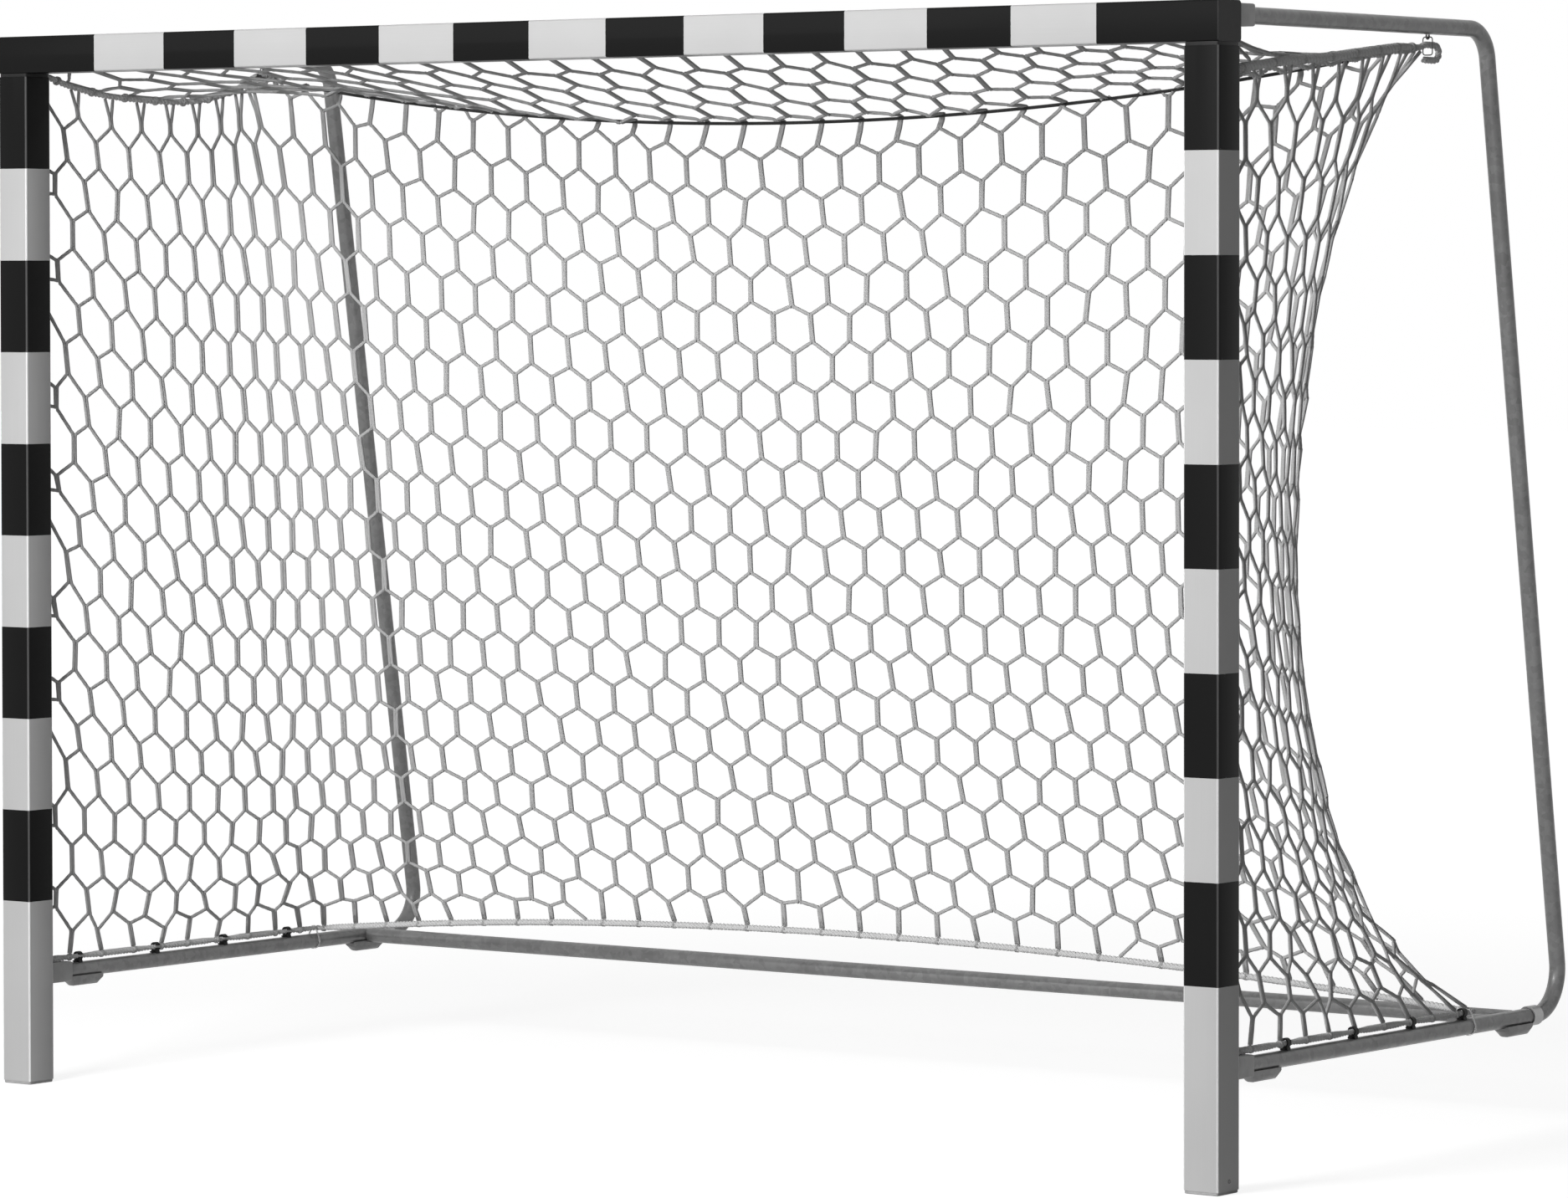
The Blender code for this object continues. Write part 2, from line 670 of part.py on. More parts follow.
def make_sleeve(side, sign, surface):
    """The collar over the joint of hoop and ground tube, with chamfered rims."""
    inner = (TUBE_RADIUS + CLEAR) / math.cos(math.pi / TUBE_SIDES)
    outer = inner + SLEEVE_WALL
    half = SLEEVE_LENGTH / 2
    rim = SLEEVE_WALL / 3
    profile = (
        (inner, -half),
        (outer - rim, -half),
        (outer, rim - half),
        (outer, half - rim),
        (outer - rim, half),
        (inner, half),
    )
    place = lengthwise(sign * POST_X, sleeve_middle(), GROUND_HEIGHT)
    finished(f"hoop_sleeve_{side}", turned_mesh(profile, TUBE_SIDES), surface, place)


def make_rear_tube(surface):
    """The tube between the ground tubes, coped over each of them and cut upright above the pads."""
    half = POST_X
    path = [Vector((x, rear_tube_place(), GROUND_HEIGHT)) for x in (-half, half)]
    bm = tube_mesh(path, TUBE_RADIUS, TUBE_RADIUS - TUBE_WALL, Vector((0, 1, 0)), TUBE_SIDES)
    rear = finished("rear_tube", bm, surface)
    radius = (TUBE_RADIUS + CLEAR) / math.cos(math.pi / TUBE_SIDES)
    outline = arc((0, 0), radius, 0, 180, TUBE_SIDES // 2) + [(-radius, -2 * radius), (radius, -2 * radius)]
    length = 6 * TUBE_RADIUS
    for side, sign in SIDES.items():
        cope = prism_mesh([outline], length)
        place = lengthwise(sign * POST_X, rear_tube_place() - length / 2, GROUND_HEIGHT)
        combine(rear, f"cope_{side}", cope, "DIFFERENCE", place)


def pad_section(lift):
    """Half-round outline under the tube, as (x, z). Its lower part is drawn up by the share lift."""
    seat = arc((0, GROUND_HEIGHT), (TUBE_RADIUS + CLEAR) / math.cos(math.pi / TUBE_SIDES), 225, 315, 4)
    top = seat[0][1]
    middle = PAD_HALF_WIDTH - PAD_ROUND
    lower = [(PAD_HALF_WIDTH, top)] + arc((middle, PAD_ROUND), PAD_ROUND, 0, -90, 3)
    lower += arc((-middle, PAD_ROUND), PAD_ROUND, -90, -180, 3) + [(-PAD_HALF_WIDTH, top)]
    return seat + [(x, top - (top - z) * (1 - lift)) for x, z in lower]


def make_pad(end, side, sign, start, surface):
    """A half-round skid under the ground tube, tapered at each end, with a flat where it stands."""
    stop = start + PAD_LENGTH
    sections = (
        (start, PAD_TAPER_LIFT),
        (start + PAD_TAPER, 0),
        (stop - PAD_TAPER, 0),
        (stop, PAD_TAPER_LIFT),
    )
    bm = bmesh.new()
    rings = []
    for y, lift in sections:
        rings.append([bm.verts.new((sign * POST_X + x, y, z)) for x, z in pad_section(lift)])
    for before, after in zip(rings, rings[1:]):
        for index in range(len(before)):
            following = (index + 1) % len(before)
            bm.faces.new((before[index], before[following], after[following], after[index]))
    bm.faces.new(rings[0])
    bm.faces.new(rings[-1])
    finished(f"skid_pad_{end}_{side}", bm, surface)


# Net clips, eyes, links and ties

def clip_outline(sign):
    """The clip seen from in front: a saddle on the tube and a ring with a slot towards the goal."""
    reach = math.degrees(math.asin(CLIP_BASE_HALF_WIDTH / (TUBE_RADIUS + CLEAR)))
    tube = (0, GROUND_HEIGHT - CLIP_CENTRE_Z)
    saddle = arc(tube, TUBE_RADIUS + CLEAR, 90 + reach, 90 - reach, 4)
    neck = CLIP_NECK_DEGREES
    slot = CLIP_SLOT_DEGREES
    shoulder = -CLIP_OUTER_RADIUS
    outline = saddle + [(CLIP_BASE_HALF_WIDTH, shoulder)]
    outline += arc((0, 0), CLIP_OUTER_RADIUS, -neck, 180 - slot, 8)
    outline += arc((0, 0), CLIP_INNER_RADIUS, 180 - slot, slot - 180, 11)
    outline += arc((0, 0), CLIP_OUTER_RADIUS, 180 + slot, 180 + neck, 2)
    outline += [(-CLIP_BASE_HALF_WIDTH, shoulder)]
    return [(sign * x, z) for x, z in outline]


def make_clip(name, x, y, sign, surface):
    bm = prism_mesh([clip_outline(sign)], CLIP_LENGTH)
    clip = finished(name, bm, surface, lengthwise(x, y - CLIP_LENGTH / 2, CLIP_CENTRE_Z))
    half = CLIP_TAB_WIDTH / 2
    base = TUBE_TOP + CLEAR
    low = (x - half, y - CLIP_LENGTH / 2 - CLIP_TAB_LENGTH, base)
    high = (x + half, y - CLIP_LENGTH / 4, base + CLIP_BASE)
    combine(clip, "tab", box_mesh(low, high), "UNION")


def make_eye(side, sign, surface):
    """A bent wire eye whose two legs stand against the underside of the upper arm."""
    x = sign * POST_X
    top = UPPER_ARM_Z - TUBE_RADIUS - CLEAR
    bend = EYE_HALF_WIDTH
    turn_z = UPPER_ARM_Z - TUBE_RADIUS - EYE_DROP + bend
    points = [(EYE_PLACE - bend, top)]
    points += arc((EYE_PLACE, turn_z), bend, 180, 360, 10)
    points += [(EYE_PLACE + bend, top)]
    cord(f"corner_eye_{side}", [Vector((x, y, z)) for y, z in points], EYE_WIRE, surface)


def make_link(side, sign, surface):
    """A closed wire link in the plane across the hoop, with its top bar on the hinge line."""
    half = LINK_WIDTH / 2 - LINK_BEND
    low = LINK_BEND - LINK_LENGTH
    points = arc((half, -LINK_BEND), LINK_BEND, 90, 0, 4)
    points += arc((half, low), LINK_BEND, 0, -90, 4)
    points += arc((-half, low), LINK_BEND, 270, 180, 4)
    points += arc((-half, -LINK_BEND), LINK_BEND, 180, 90, 4)
    path = [Vector((x, 0, z)) for x, z in points]
    link = cord(f"corner_link_{side}", path, LINK_WIRE, surface, cyclic=True)
    link.location = (sign * POST_X, EYE_PLACE, LINK_HINGE_Z)


def make_tie(side, sign, surface):
    """A clear band round the ground tube and the hem rope above it."""
    loops = []
    for extra in (TIE_THICKNESS, 0):
        big = (TUBE_RADIUS + CLEAR) / math.cos(math.pi / TUBE_SIDES) + extra
        small = ROPE_RADIUS + CLEAR + extra
        lean = math.degrees(math.asin((big - small) / (ROPE_Z - GROUND_HEIGHT)))
        loop = arc((0, 0), big, 180 - lean, 360 + lean, TUBE_SIDES)
        loop += arc((0, ROPE_Z - GROUND_HEIGHT), small, lean, 180 - lean, 8)
        loops.append(loop)
    bm = prism_mesh(loops, TIE_WIDTH)
    place = lengthwise(sign * POST_X, tie_place() - TIE_WIDTH / 2, GROUND_HEIGHT)
    finished(f"corner_tie_{side}", bm, surface, place)


# Ropes

def upper_hem_points(side):
    """The upper hem rope: from the post, through the link, and back under itself in a loop."""
    points = [(place, UPPER_ARM_Z - drop) for place, drop in zip(HEM_PLACES, HEM_DROPS[side])]
    points += [(KNOT_PLACE, LOOP_Z - KNOT_DROP)]
    points += [(EYE_PLACE - ROPE_LEVEL, LOOP_Z), (EYE_PLACE + ROPE_LEVEL, LOOP_Z)]
    points += arc((EYE_PLACE + ROPE_LOOP_REACH, LOOP_Z - ROPE_LOOP_RADIUS), ROPE_LOOP_RADIUS, 90, -90, 4)
    points += [(EYE_PLACE - ROPE_TAIL, LOOP_Z - 2 * ROPE_LOOP_RADIUS)]
    return points


def make_upper_hem(side, sign, surface):
    route = [Vector((sign * POST_X, y, z)) for y, z in upper_hem_points(side)]
    cord(f"upper_hem_{side}", smooth(route, 46), UPPER_ROPE_RADIUS, surface)


def hem_height(side, y):
    """Height of the upper hem rope's centre at a distance y, in front of the link."""
    points = upper_hem_points(side)
    for (before, low), (after, high) in zip(points, points[1:]):
        if before <= y <= after:
            return low + (high - low) * (y - before) / (after - before)
    return points[0][1]


def knot_centre(side, sign):
    x = POST_X - UPPER_ROPE_RADIUS - KNOT_RADIUS - CLEAR
    return Vector((sign * x, KNOT_PLACE, hem_height(side, KNOT_PLACE)))


def make_knot(side, sign, surface):
    """The cord's knot beside the hem rope, a ball turned round the cord's own direction."""
    steps = arc((0, 0), KNOT_RADIUS, -90, 90, 8)
    profile = [(0, -KNOT_RADIUS), *steps[1:-1], (0, KNOT_RADIUS)]
    turn = Matrix.Rotation(math.pi / 2, 4, "Y")
    place = Matrix.Translation(knot_centre(side, sign))
    finished(f"cord_knot_{side}", turned_mesh(profile, 12), surface, place @ turn)


def cord_point(x):
    """The black cord's centre at x: it sags and is drawn forward, each as a parabola."""
    left = knot_centre("left", -1)
    right = knot_centre("right", 1)
    share = (x - left.x) / (right.x - left.x)
    slack = 4 * share * (1 - share)
    straight = left.lerp(right, share)
    return Vector((x, straight.y - CORD_BOW * slack, straight.z - CORD_SAG * slack))


def make_black_cord(surface):
    end = knot_centre("right", 1).x - KNOT_RADIUS - CLEAR
    count = 34
    points = [cord_point(end * (2 * index / count - 1)) for index in range(count + 1)]
    cord("roof_cord", points, CORD_RADIUS, surface)


def hem_point(x):
    """The bottom hem rope's centre across the back, drawn forward and up."""
    reach = POST_X - CORNER_BOTTOM_INSET
    slack = 1 - (x / reach) ** 2
    return Vector((x, corner_bottom_place() - HEM_BOW * slack, ROPE_Z + HEM_RISE * slack))


def make_bottom_hem(surface):
    """One rope: along the left clips to the corner, across the back, and along the right clips."""
    start = PROFILE + CLEAR + ROPE_RADIUS / 2
    side_end = tie_place() + TIE_WIDTH / 2
    depth = corner_bottom_place() - side_end
    half = []
    for share in (0, 0.25, 0.5, 0.75, 1):
        half.append(Vector((POST_X, start + (side_end - start) * share, ROPE_Z)))
    for inward, outward in ((0.1, 0.35), (0.9, 0.75)):
        half.append(Vector((POST_X - inward * depth, side_end + outward * depth, ROPE_Z)))
    reach = POST_X - CORNER_BOTTOM_INSET - CORNER_ROPE_INSET
    across = [hem_point(reach * (1 - step / 6)) for step in range(6)]
    half += across
    other = [Vector((-point.x, point.y, point.z)) for point in half]
    route = half + [hem_point(0)] + other[::-1]
    cord("bottom_hem", smooth(route, 2 * len(route) - 1), ROPE_RADIUS, surface)


# Net

def corner_point(side, sign, share):
    """The net's rear corner at a share of its height: drawn inward between its two held ends."""
    top_z = hem_height(side, CORNER_TOP_PLACE) - UPPER_ROPE_RADIUS - HEM_MARGIN
    top = Vector((NET_EDGE_X, CORNER_TOP_PLACE, top_z))
    bottom = Vector((POST_X - CORNER_BOTTOM_INSET, corner_bottom_place(), CLIP_TOP_Z + CLEAR))
    draw = CORNER_DRAW * math.sin(math.pi * share)
    point = bottom.lerp(top, share) - Vector((draw, draw, 0))
    return Vector((sign * point.x, point.y, point.z))


def stretched(bottom, top, start, end):
    """A panel between four edge curves, each a function of a share from 0 to 1.

    It is straight from bottom to top, and the draw of its two ends dies away over DRAW_REACH."""
    width = ((bottom(1) - bottom(0)).length + (top(1) - top(0)).length) / 2
    last = math.exp(-width / DRAW_REACH)

    def fade(share):
        return (math.exp(-share * width / DRAW_REACH) - last) / (1 - last)

    def place(u, v):
        start_draw = start(v) - bottom(0).lerp(top(0), v)
        end_draw = end(v) - bottom(1).lerp(top(1), v)
        return bottom(u).lerp(top(u), v) + start_draw * fade(u) + end_draw * fade(1 - u)

    return place


def make_net(name, columns, rows, place, surface):
    """A panel of braid: six-sided gaps in offset rows, cut short at the edges, and thickened to a solid."""
    bm = bmesh.new()
    knots = {}

    def knot(half_column, row):
        if (half_column, row) not in knots:
            lift = 0.0
            if 0 < row < rows and 0 < half_column < 2 * columns:
                lift = ZIGZAG if half_column % 2 == row % 2 else -ZIGZAG
            across = half_column / (2 * columns)
            knots[half_column, row] = bm.verts.new(place(across, (row + lift) / rows))
        return knots[half_column, row]

    for row in range(rows):
        walls = sorted({0, 2 * columns, *range(row % 2, 2 * columns + 1, 2)})
        for left, right in zip(walls, walls[1:]):
            lower = [knot(column, row) for column in range(left, right + 1)]
            upper = [knot(column, row + 1) for column in range(right, left - 1, -1)]
            bm.faces.new(lower + upper)
    gaps = list(bm.faces)
    bmesh.ops.recalc_face_normals(bm, faces=gaps)
    bmesh.ops.inset_individual(bm, faces=gaps, thickness=STRAND_HALF_WIDTH, use_even_offset=True)
    bmesh.ops.delete(bm, geom=gaps, context="FACES_ONLY")
    mesh = bpy.data.meshes.new(name)
    bm.to_mesh(mesh)
    bm.free()
    net = add_object(name, mesh, surface)
    braid = net.modifiers.new("braid", "SOLIDIFY")
    braid.thickness = STRAND_THICKNESS
    braid.offset = 0
    return len(gaps)


def make_side_net(side, sign, surface):
    front = PROFILE + NET_MARGIN
    low = CLIP_TOP_Z + CLEAR
    seam = Vector((0, -SEAM, 0))

    def top(share):
        y = front + (CORNER_TOP_PLACE - SEAM - front) * share
        corner_z = corner_point(side, sign, 1).z
        slack = hem_height(side, y) - UPPER_ROPE_RADIUS - HEM_MARGIN
        end_slack = hem_height(side, CORNER_TOP_PLACE - SEAM) - UPPER_ROPE_RADIUS - HEM_MARGIN
        return Vector((sign * NET_EDGE_X, y, slack + (corner_z - end_slack) * share))

    def bottom(share):
        return Vector((sign * NET_EDGE_X, front, low)).lerp(corner_point(side, sign, 0) + seam, share)

    def start(share):
        return bottom(0).lerp(top(0), share)

    def end(share):
        return corner_point(side, sign, share) + seam

    place = stretched(bottom, top, start, end)
    return make_net(f"net_{side}", SIDE_COLUMNS, NET_ROWS, place, surface)


def make_back_net(surface):
    def left(share):
        return corner_point("left", -1, share) + Vector((SEAM, 0, 0))

    def right(share):
        return corner_point("right", 1, share) - Vector((SEAM, 0, 0))

    def bottom(share):
        x = left(0).x + (right(0).x - left(0).x) * share
        middle = 1 - (x / right(0).x) ** 2
        rope = hem_point(x)
        lift = ROPE_RADIUS + HEM_MARGIN
        z = right(0).z + (hem_point(0).z + lift - right(0).z) * middle
        return Vector((x, rope.y + (right(0).y - hem_point(right(0).x).y) * (1 - middle), z))

    def top(share):
        straight = left(1).lerp(right(1), share)
        middle = 4 * share * (1 - share)
        under = cord_point(0) - Vector((0, 0, CORD_RADIUS + SEAM))
        level = left(1).lerp(right(1), 0.5)
        return straight + (under - level) * middle

    return make_net("net_back", BACK_COLUMNS, NET_ROWS, stretched(bottom, top, left, right), surface)


def make_roof_net(surface):
    """The panel from the crossbar back to the black cord, in front of it."""
    gap = Vector((0, -CORD_RADIUS - SEAM, 0))

    def front(share):
        return Vector((ROOF_HALF_WIDTH * (2 * share - 1), PROFILE + NET_MARGIN, ROOF_EDGE_Z))

    def back(share):
        return cord_point(ROOF_HALF_WIDTH * (2 * share - 1)) + gap

    def left(share):
        return front(0).lerp(back(0), share)

    def right(share):
        return front(1).lerp(back(1), share)

    return make_net("net_roof", BACK_COLUMNS, ROOF_ROWS, stretched(front, back, left, right), surface)


def main():
    clear_scene()
    materials = {
        "silver": material("powder_coated_silver", (0.6, 0.6, 0.6), 0.4, 0.6),
        "zinc": material("cast_bracket_grey", (0.2, 0.2, 0.2), 0.5, 0.6),
        "steel": material("bright_steel", (0.55, 0.55, 0.55), 0.35, 1.0),
        "galvanised": material("galvanised_steel", (0.12, 0.12, 0.12), 0.45, 0.8),
        "black": material("black_plastic", (0.01, 0.01, 0.01), 0.5, 0.0),
        "clear": material("clear_plastic", (0.8, 0.8, 0.8), 0.2, 0.0),
        "net": material("net_braid", (0.35, 0.35, 0.35), 0.9, 0.0),
        "rope": material("hem_rope", (0.4, 0.4, 0.4), 0.9, 0.0),
        "cord": material("black_cord", (0.01, 0.01, 0.01), 0.8, 0.0),
    }
    make_crossbar(materials["silver"])
    make_rear_tube(materials["galvanised"])
    gaps = 0
    for side, sign in SIDES.items():
        make_post(side, sign, materials["silver"])
        make_end_cap(side, sign, materials["black"])
        make_post_foot(side, sign, materials["black"])
        make_foot_rivet(side, sign, materials["steel"])
        make_corner_connector(side, sign, materials["black"])
        make_corner_bolt(side, sign, materials["steel"])
        make_upper_bracket(side, sign, materials)
        make_lower_bracket(side, sign, materials)
        make_hoop(side, sign, materials["galvanised"])
        make_ground_tube(side, sign, materials["galvanised"])
        make_sleeve(side, sign, materials["galvanised"])
        make_pad("front", side, sign, BRACKET_END + PAD_GAP, materials["galvanised"])
        pad_start = sleeve_middle() - SLEEVE_LENGTH / 2 - PAD_GAP - PAD_LENGTH
        make_pad("rear", side, sign, pad_start, materials["galvanised"])
        for number, share in enumerate(CLIP_SHARES[side], 1):
            place = PROFILE + (tie_place() - PROFILE) * share
            make_clip(f"net_clip_{side}_{number}", sign * POST_X, place, sign, materials["black"])
        make_eye(side, sign, materials["steel"])
        make_link(side, sign, materials["steel"])
        make_tie(side, sign, materials["clear"])
        make_upper_hem(side, sign, materials["rope"])
        make_knot(side, sign, materials["cord"])
        gaps += make_side_net(side, sign, materials["net"])
    gaps += make_back_net(materials["net"])
    gaps += make_roof_net(materials["net"])
    make_bottom_hem(materials["rope"])
    make_black_cord(materials["cord"])
    print(f"net gaps: {gaps}")


main()
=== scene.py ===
"""Looks of a handball goal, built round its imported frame: striped metal, galvanised tube and a braided net.

Metres, +Z up, +X to the right seen from in front, +Y into the goal, with the origin at floor level in the
plane of the goal mouth.
"""

import math

import bpy
import numpy as np
from mathutils import Matrix, Vector


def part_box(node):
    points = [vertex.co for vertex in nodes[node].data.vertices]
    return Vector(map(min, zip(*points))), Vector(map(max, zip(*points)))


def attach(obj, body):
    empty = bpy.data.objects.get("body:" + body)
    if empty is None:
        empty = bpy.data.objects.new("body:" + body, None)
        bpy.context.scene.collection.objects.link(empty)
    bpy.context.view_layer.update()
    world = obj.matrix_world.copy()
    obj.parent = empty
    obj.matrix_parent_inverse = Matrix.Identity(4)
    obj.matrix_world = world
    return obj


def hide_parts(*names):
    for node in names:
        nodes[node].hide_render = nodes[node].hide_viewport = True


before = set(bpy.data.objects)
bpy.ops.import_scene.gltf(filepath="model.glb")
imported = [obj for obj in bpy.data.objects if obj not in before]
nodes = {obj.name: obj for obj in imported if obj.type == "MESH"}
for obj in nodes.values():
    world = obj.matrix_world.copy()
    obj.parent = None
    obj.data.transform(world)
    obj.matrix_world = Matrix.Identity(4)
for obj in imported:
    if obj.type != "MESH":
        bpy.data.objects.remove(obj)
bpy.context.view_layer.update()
SIDES = {"left": -1, "right": 1}

# Camera, fitted to the photograph: the picture's width, focal length and vertical shift are in its pixels
PHOTO_WIDTH = 1874
FOCAL_PIXELS = 8037.2
SHIFT_PIXELS = 150
SENSOR_WIDTH = 36
CAMERA_PLACE = Vector((8.5348, -10.7937, 1.5370))
CAMERA_YAW = 0.6369
CAMERA_PITCH = -0.0275
CAMERA_ROLL = -0.0012

X, Y, Z = range(3)


def middle(name, axis):
    """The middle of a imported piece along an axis."""
    low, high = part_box(name)
    return (low[axis] + high[axis]) / 2


# Goal frame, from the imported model
POST_X = middle("post_right", X)
POST_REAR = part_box("post_right")[1].y
POST_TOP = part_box("post_right")[1].z
BAR_AXIS_Z = middle("crossbar", Z)
FLOOR_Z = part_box("post_foot_left")[0].z
GROUND_Z = middle("rear_tube", Z)
UPPER_ARM_Z = middle("upper_bracket_left", Z)
TUBE_RADIUS = (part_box("rear_tube")[1].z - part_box("rear_tube")[0].z) / 2
TIE_Y = middle("corner_tie_left", Y)
LINK_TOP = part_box("corner_link_right")[1].z

# Painted bands
BAND = 0.2
CORNER_BAND_START = 1.3

# Net hoops
HOOP_TOP_REACH = 1.06
HOOP_BOTTOM_REACH = 1.375
HOOP_TOP_BEND = 0.07
HOOP_BOTTOM_BEND = 0.09
HOOP_TUBE_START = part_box("hoop_left")[0].y
HOOP_END_GAP = 0.0003
HOOP_BEND_STEPS = 24
HOOP_SIDES = 40
HOOP_SHARP_ANGLE = math.radians(40)

# Ropes and cord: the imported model's routes again, with the black cord a little thicker than there
ROPE_RADIUS = 0.0055
UPPER_ROPE_RADIUS = 0.007
CORD_RADIUS = 0.0036
ROPE_Z = 0.06395
LINK_WIRE = 0.00125
ROPE_BELOW_HINGE = 0.016
LINK_HINGE_Z = LINK_TOP - LINK_WIRE
LOOP_Z = LINK_HINGE_Z - ROPE_BELOW_HINGE
EYE_Y = 0.835
ROPE_LEVEL = 0.012
ROPE_LOOP_REACH = 0.027
ROPE_LOOP_RADIUS = 0.015
ROPE_TAIL = 0.015
KNOT_Y = 0.8
KNOT_Z = LOOP_Z - 0.006
KNOT_REACH = 0.0073
KNOT_X = POST_X - UPPER_ROPE_RADIUS - KNOT_REACH
CORD_SAG = 0.128
CORD_BOW = 0.06
CORD_STEPS = 60
CORD_SIDES = 12
CORNER_Y = 1.02
CORNER_INSET = 0.015
CORNER_ROPE_INSET = 0.03
CORNER_X = POST_X - CORNER_INSET
HEM_BOW = 0.07
HEM_RISE = 0.078
HEM_STEPS = 6
TIE_HALF_WIDTH = 0.0025
HEM_START_Y = 0.084
# The bottom rope's way round a rear corner: inward and back, as shares of the corner's depth
CORNER_TURN = ((0.1, 0.35), (0.9, 0.75))
# The upper ropes' way from the post, as distance and height
UPPER_HEM = {
    "left": (
        (HEM_START_Y, 2.01), (0.13, 1.998), (0.19, 1.983), (0.3, 1.966),
        (0.44, 1.958), (0.56, 1.9575), (0.65, 1.967), (0.74, 1.99),
    ),
    "right": (
        (HEM_START_Y, 1.953), (0.13, 1.959), (0.19, 1.966), (0.3, 1.978),
        (0.44, 1.988), (0.56, 2.0), (0.65, 2.009), (0.74, 2.017),
    ),
}

# Knots at the cord's ends
KNOT_STEPS = 48
KNOT_SIDES = 9
KNOT_RADIUS = 0.0042
KNOT_SWING = 0.0024
KNOT_DEPTH = 0.00286
KNOT_CORD_RADIUS = 0.0026

# Lay of the ropes, and the net's gathered edge below the upper right one
LAY_STEPS = 10
ROPE_STRANDS = 3
STRAND_OFFSET = 0.5
STRAND_SHARE = 0.54
STRAND_SIDES = 7
UPPER_LAY = 0.034
GATHER_LAY = 0.036
BOTTOM_LAY = 0.03
GATHER_RADIUS = 0.0046
GATHER_LOOP = 0.09
GATHER_STEP = 0.02
GATHER_DROP = 0.004
GATHER_DEPTH = 0.018
GATHER_SWAY = 0.003
WRAP_TURNS = 2
WRAP_STEPS = 11
WRAP_SIDES = 5
WRAP_LIFT = 0.7
WRAP_THICKNESS = 0.002
TIE_THICKNESS = 0.0018
UPPER_SWELL = 0.4
UPPER_SWELL_GAP = 0.07
UPPER_SWELL_SPAN = 0.05
BOTTOM_SWELL = 0.3
BOTTOM_SWELL_GAP = 0.03
BOTTOM_SWELL_SPAN = 0.03

# Net: half columns run from post to post, and rows from the bottom hem up, over the cord and to the bar
SIDE_COLUMNS = 10
BACK_COLUMNS = 30
NET_ROWS = 21
ROOF_END = 28
ROOF_SHIFT = 0.17
ROOF_CELL = 0.1157
ROOF_NARROWING = 0.0006
ROOF_FREE_X = 1.4
BAR_END_GAP = 0.004
POST_STEPS = 4
CORNER = 2 * SIDE_COLUMNS
MIDDLE = CORNER + BACK_COLUMNS
LAST = 2 * MIDDLE
CORD_RISE = 1.6
ROOF_START_RISE = 0.2
LACE_Y = POST_REAR + 0.003
UPPER_START_Y = POST_REAR + 0.004
BAR_LACE_Y = POST_REAR + 0.002
HEM_TOP = ROPE_RADIUS + 0.001
NET_CORNER_Y = 0.79
UPPER_CROWDING = 1.35
STAND_IN_STEP = 0.04
SHORT_REACH = 15
ROW_PITCH = 0.084
ZIGZAG = 0.015
CORNER_EASE = 0.0015
SIDE_SAG = 0.002
BACK_SAG = 0.0004
LOOSE = 0.0018
BOTTOM_LOOSE = 0.0045
BOTTOM_LOOSE_ROWS = 3.5
SEED = 4
HEM_SHIFT = 0.008
HEM_SHIFT_TURN = 2.4
BRAID_HALF_WIDTH = 0.0042
BRAID_HALF_THICKNESS = 0.0035
BRAID_SPACING = 0.006
TOP_SPREAD = 0.026
BRAID_SIDES = 5
BRAID_RIPPLE = 0.05

# Pulls in the net, chosen so that its cells look like the photograph's
SLANT_EXTRA = 0.45
SLANT_SPREAD = 9
WALL_PULL = 1.45
WALL_LOSS = 0.35
WALL_LOSS_START = 0.8
WALL_LOSS_SPAN = 0.6
EASE_SPREAD = 6
SAG_SPREAD = 2

# Where a braid's points lie between two crossings, as shares of the way, and how it goes over the cord
HALFWAY = 0.5
UPRIGHT_SHARES = (0.04, HALFWAY, 0.96)
SLANT_SHARES = (0.16, HALFWAY, 0.84)
TOP_SHARES = (0.04, 0.35)
START_SHARES = (0.0, 0.3, 0.7)
OVER_CORD = np.array((0, 0.7, 0.7)) * (CORD_RADIUS + 0.8 * BRAID_HALF_THICKNESS)

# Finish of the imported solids
WELD_GAP = 0.00001
EDGE_ANGLE = math.radians(35)

# Stage: the floor and the world look white, and light the goal only a little
FLOOR_REACH = 60
FLOOR_GAP = 0.0005
FLOOR_TONE = 0.45
GLOW_REACH = (3.0, 7.0)
GLOW = (0.86, 1.0)
WORLD_LIGHT = 0.05

# Lamps: name, place, target, width and height, and watts
LAMPS = (
    ("key", (-0.2, -6.8, 3.7), (0.1, 0, 1.2), (3.0, 2.5), 450),
    ("left", (-5.0, -6.0, 3.4), (0, 0, 1.2), (3.0, 2.5), 40),
    ("front", (6.2, -9.5, 1.6), (0, 0, 1.1), (3.0, 2.0), 105),
)


# Meshes

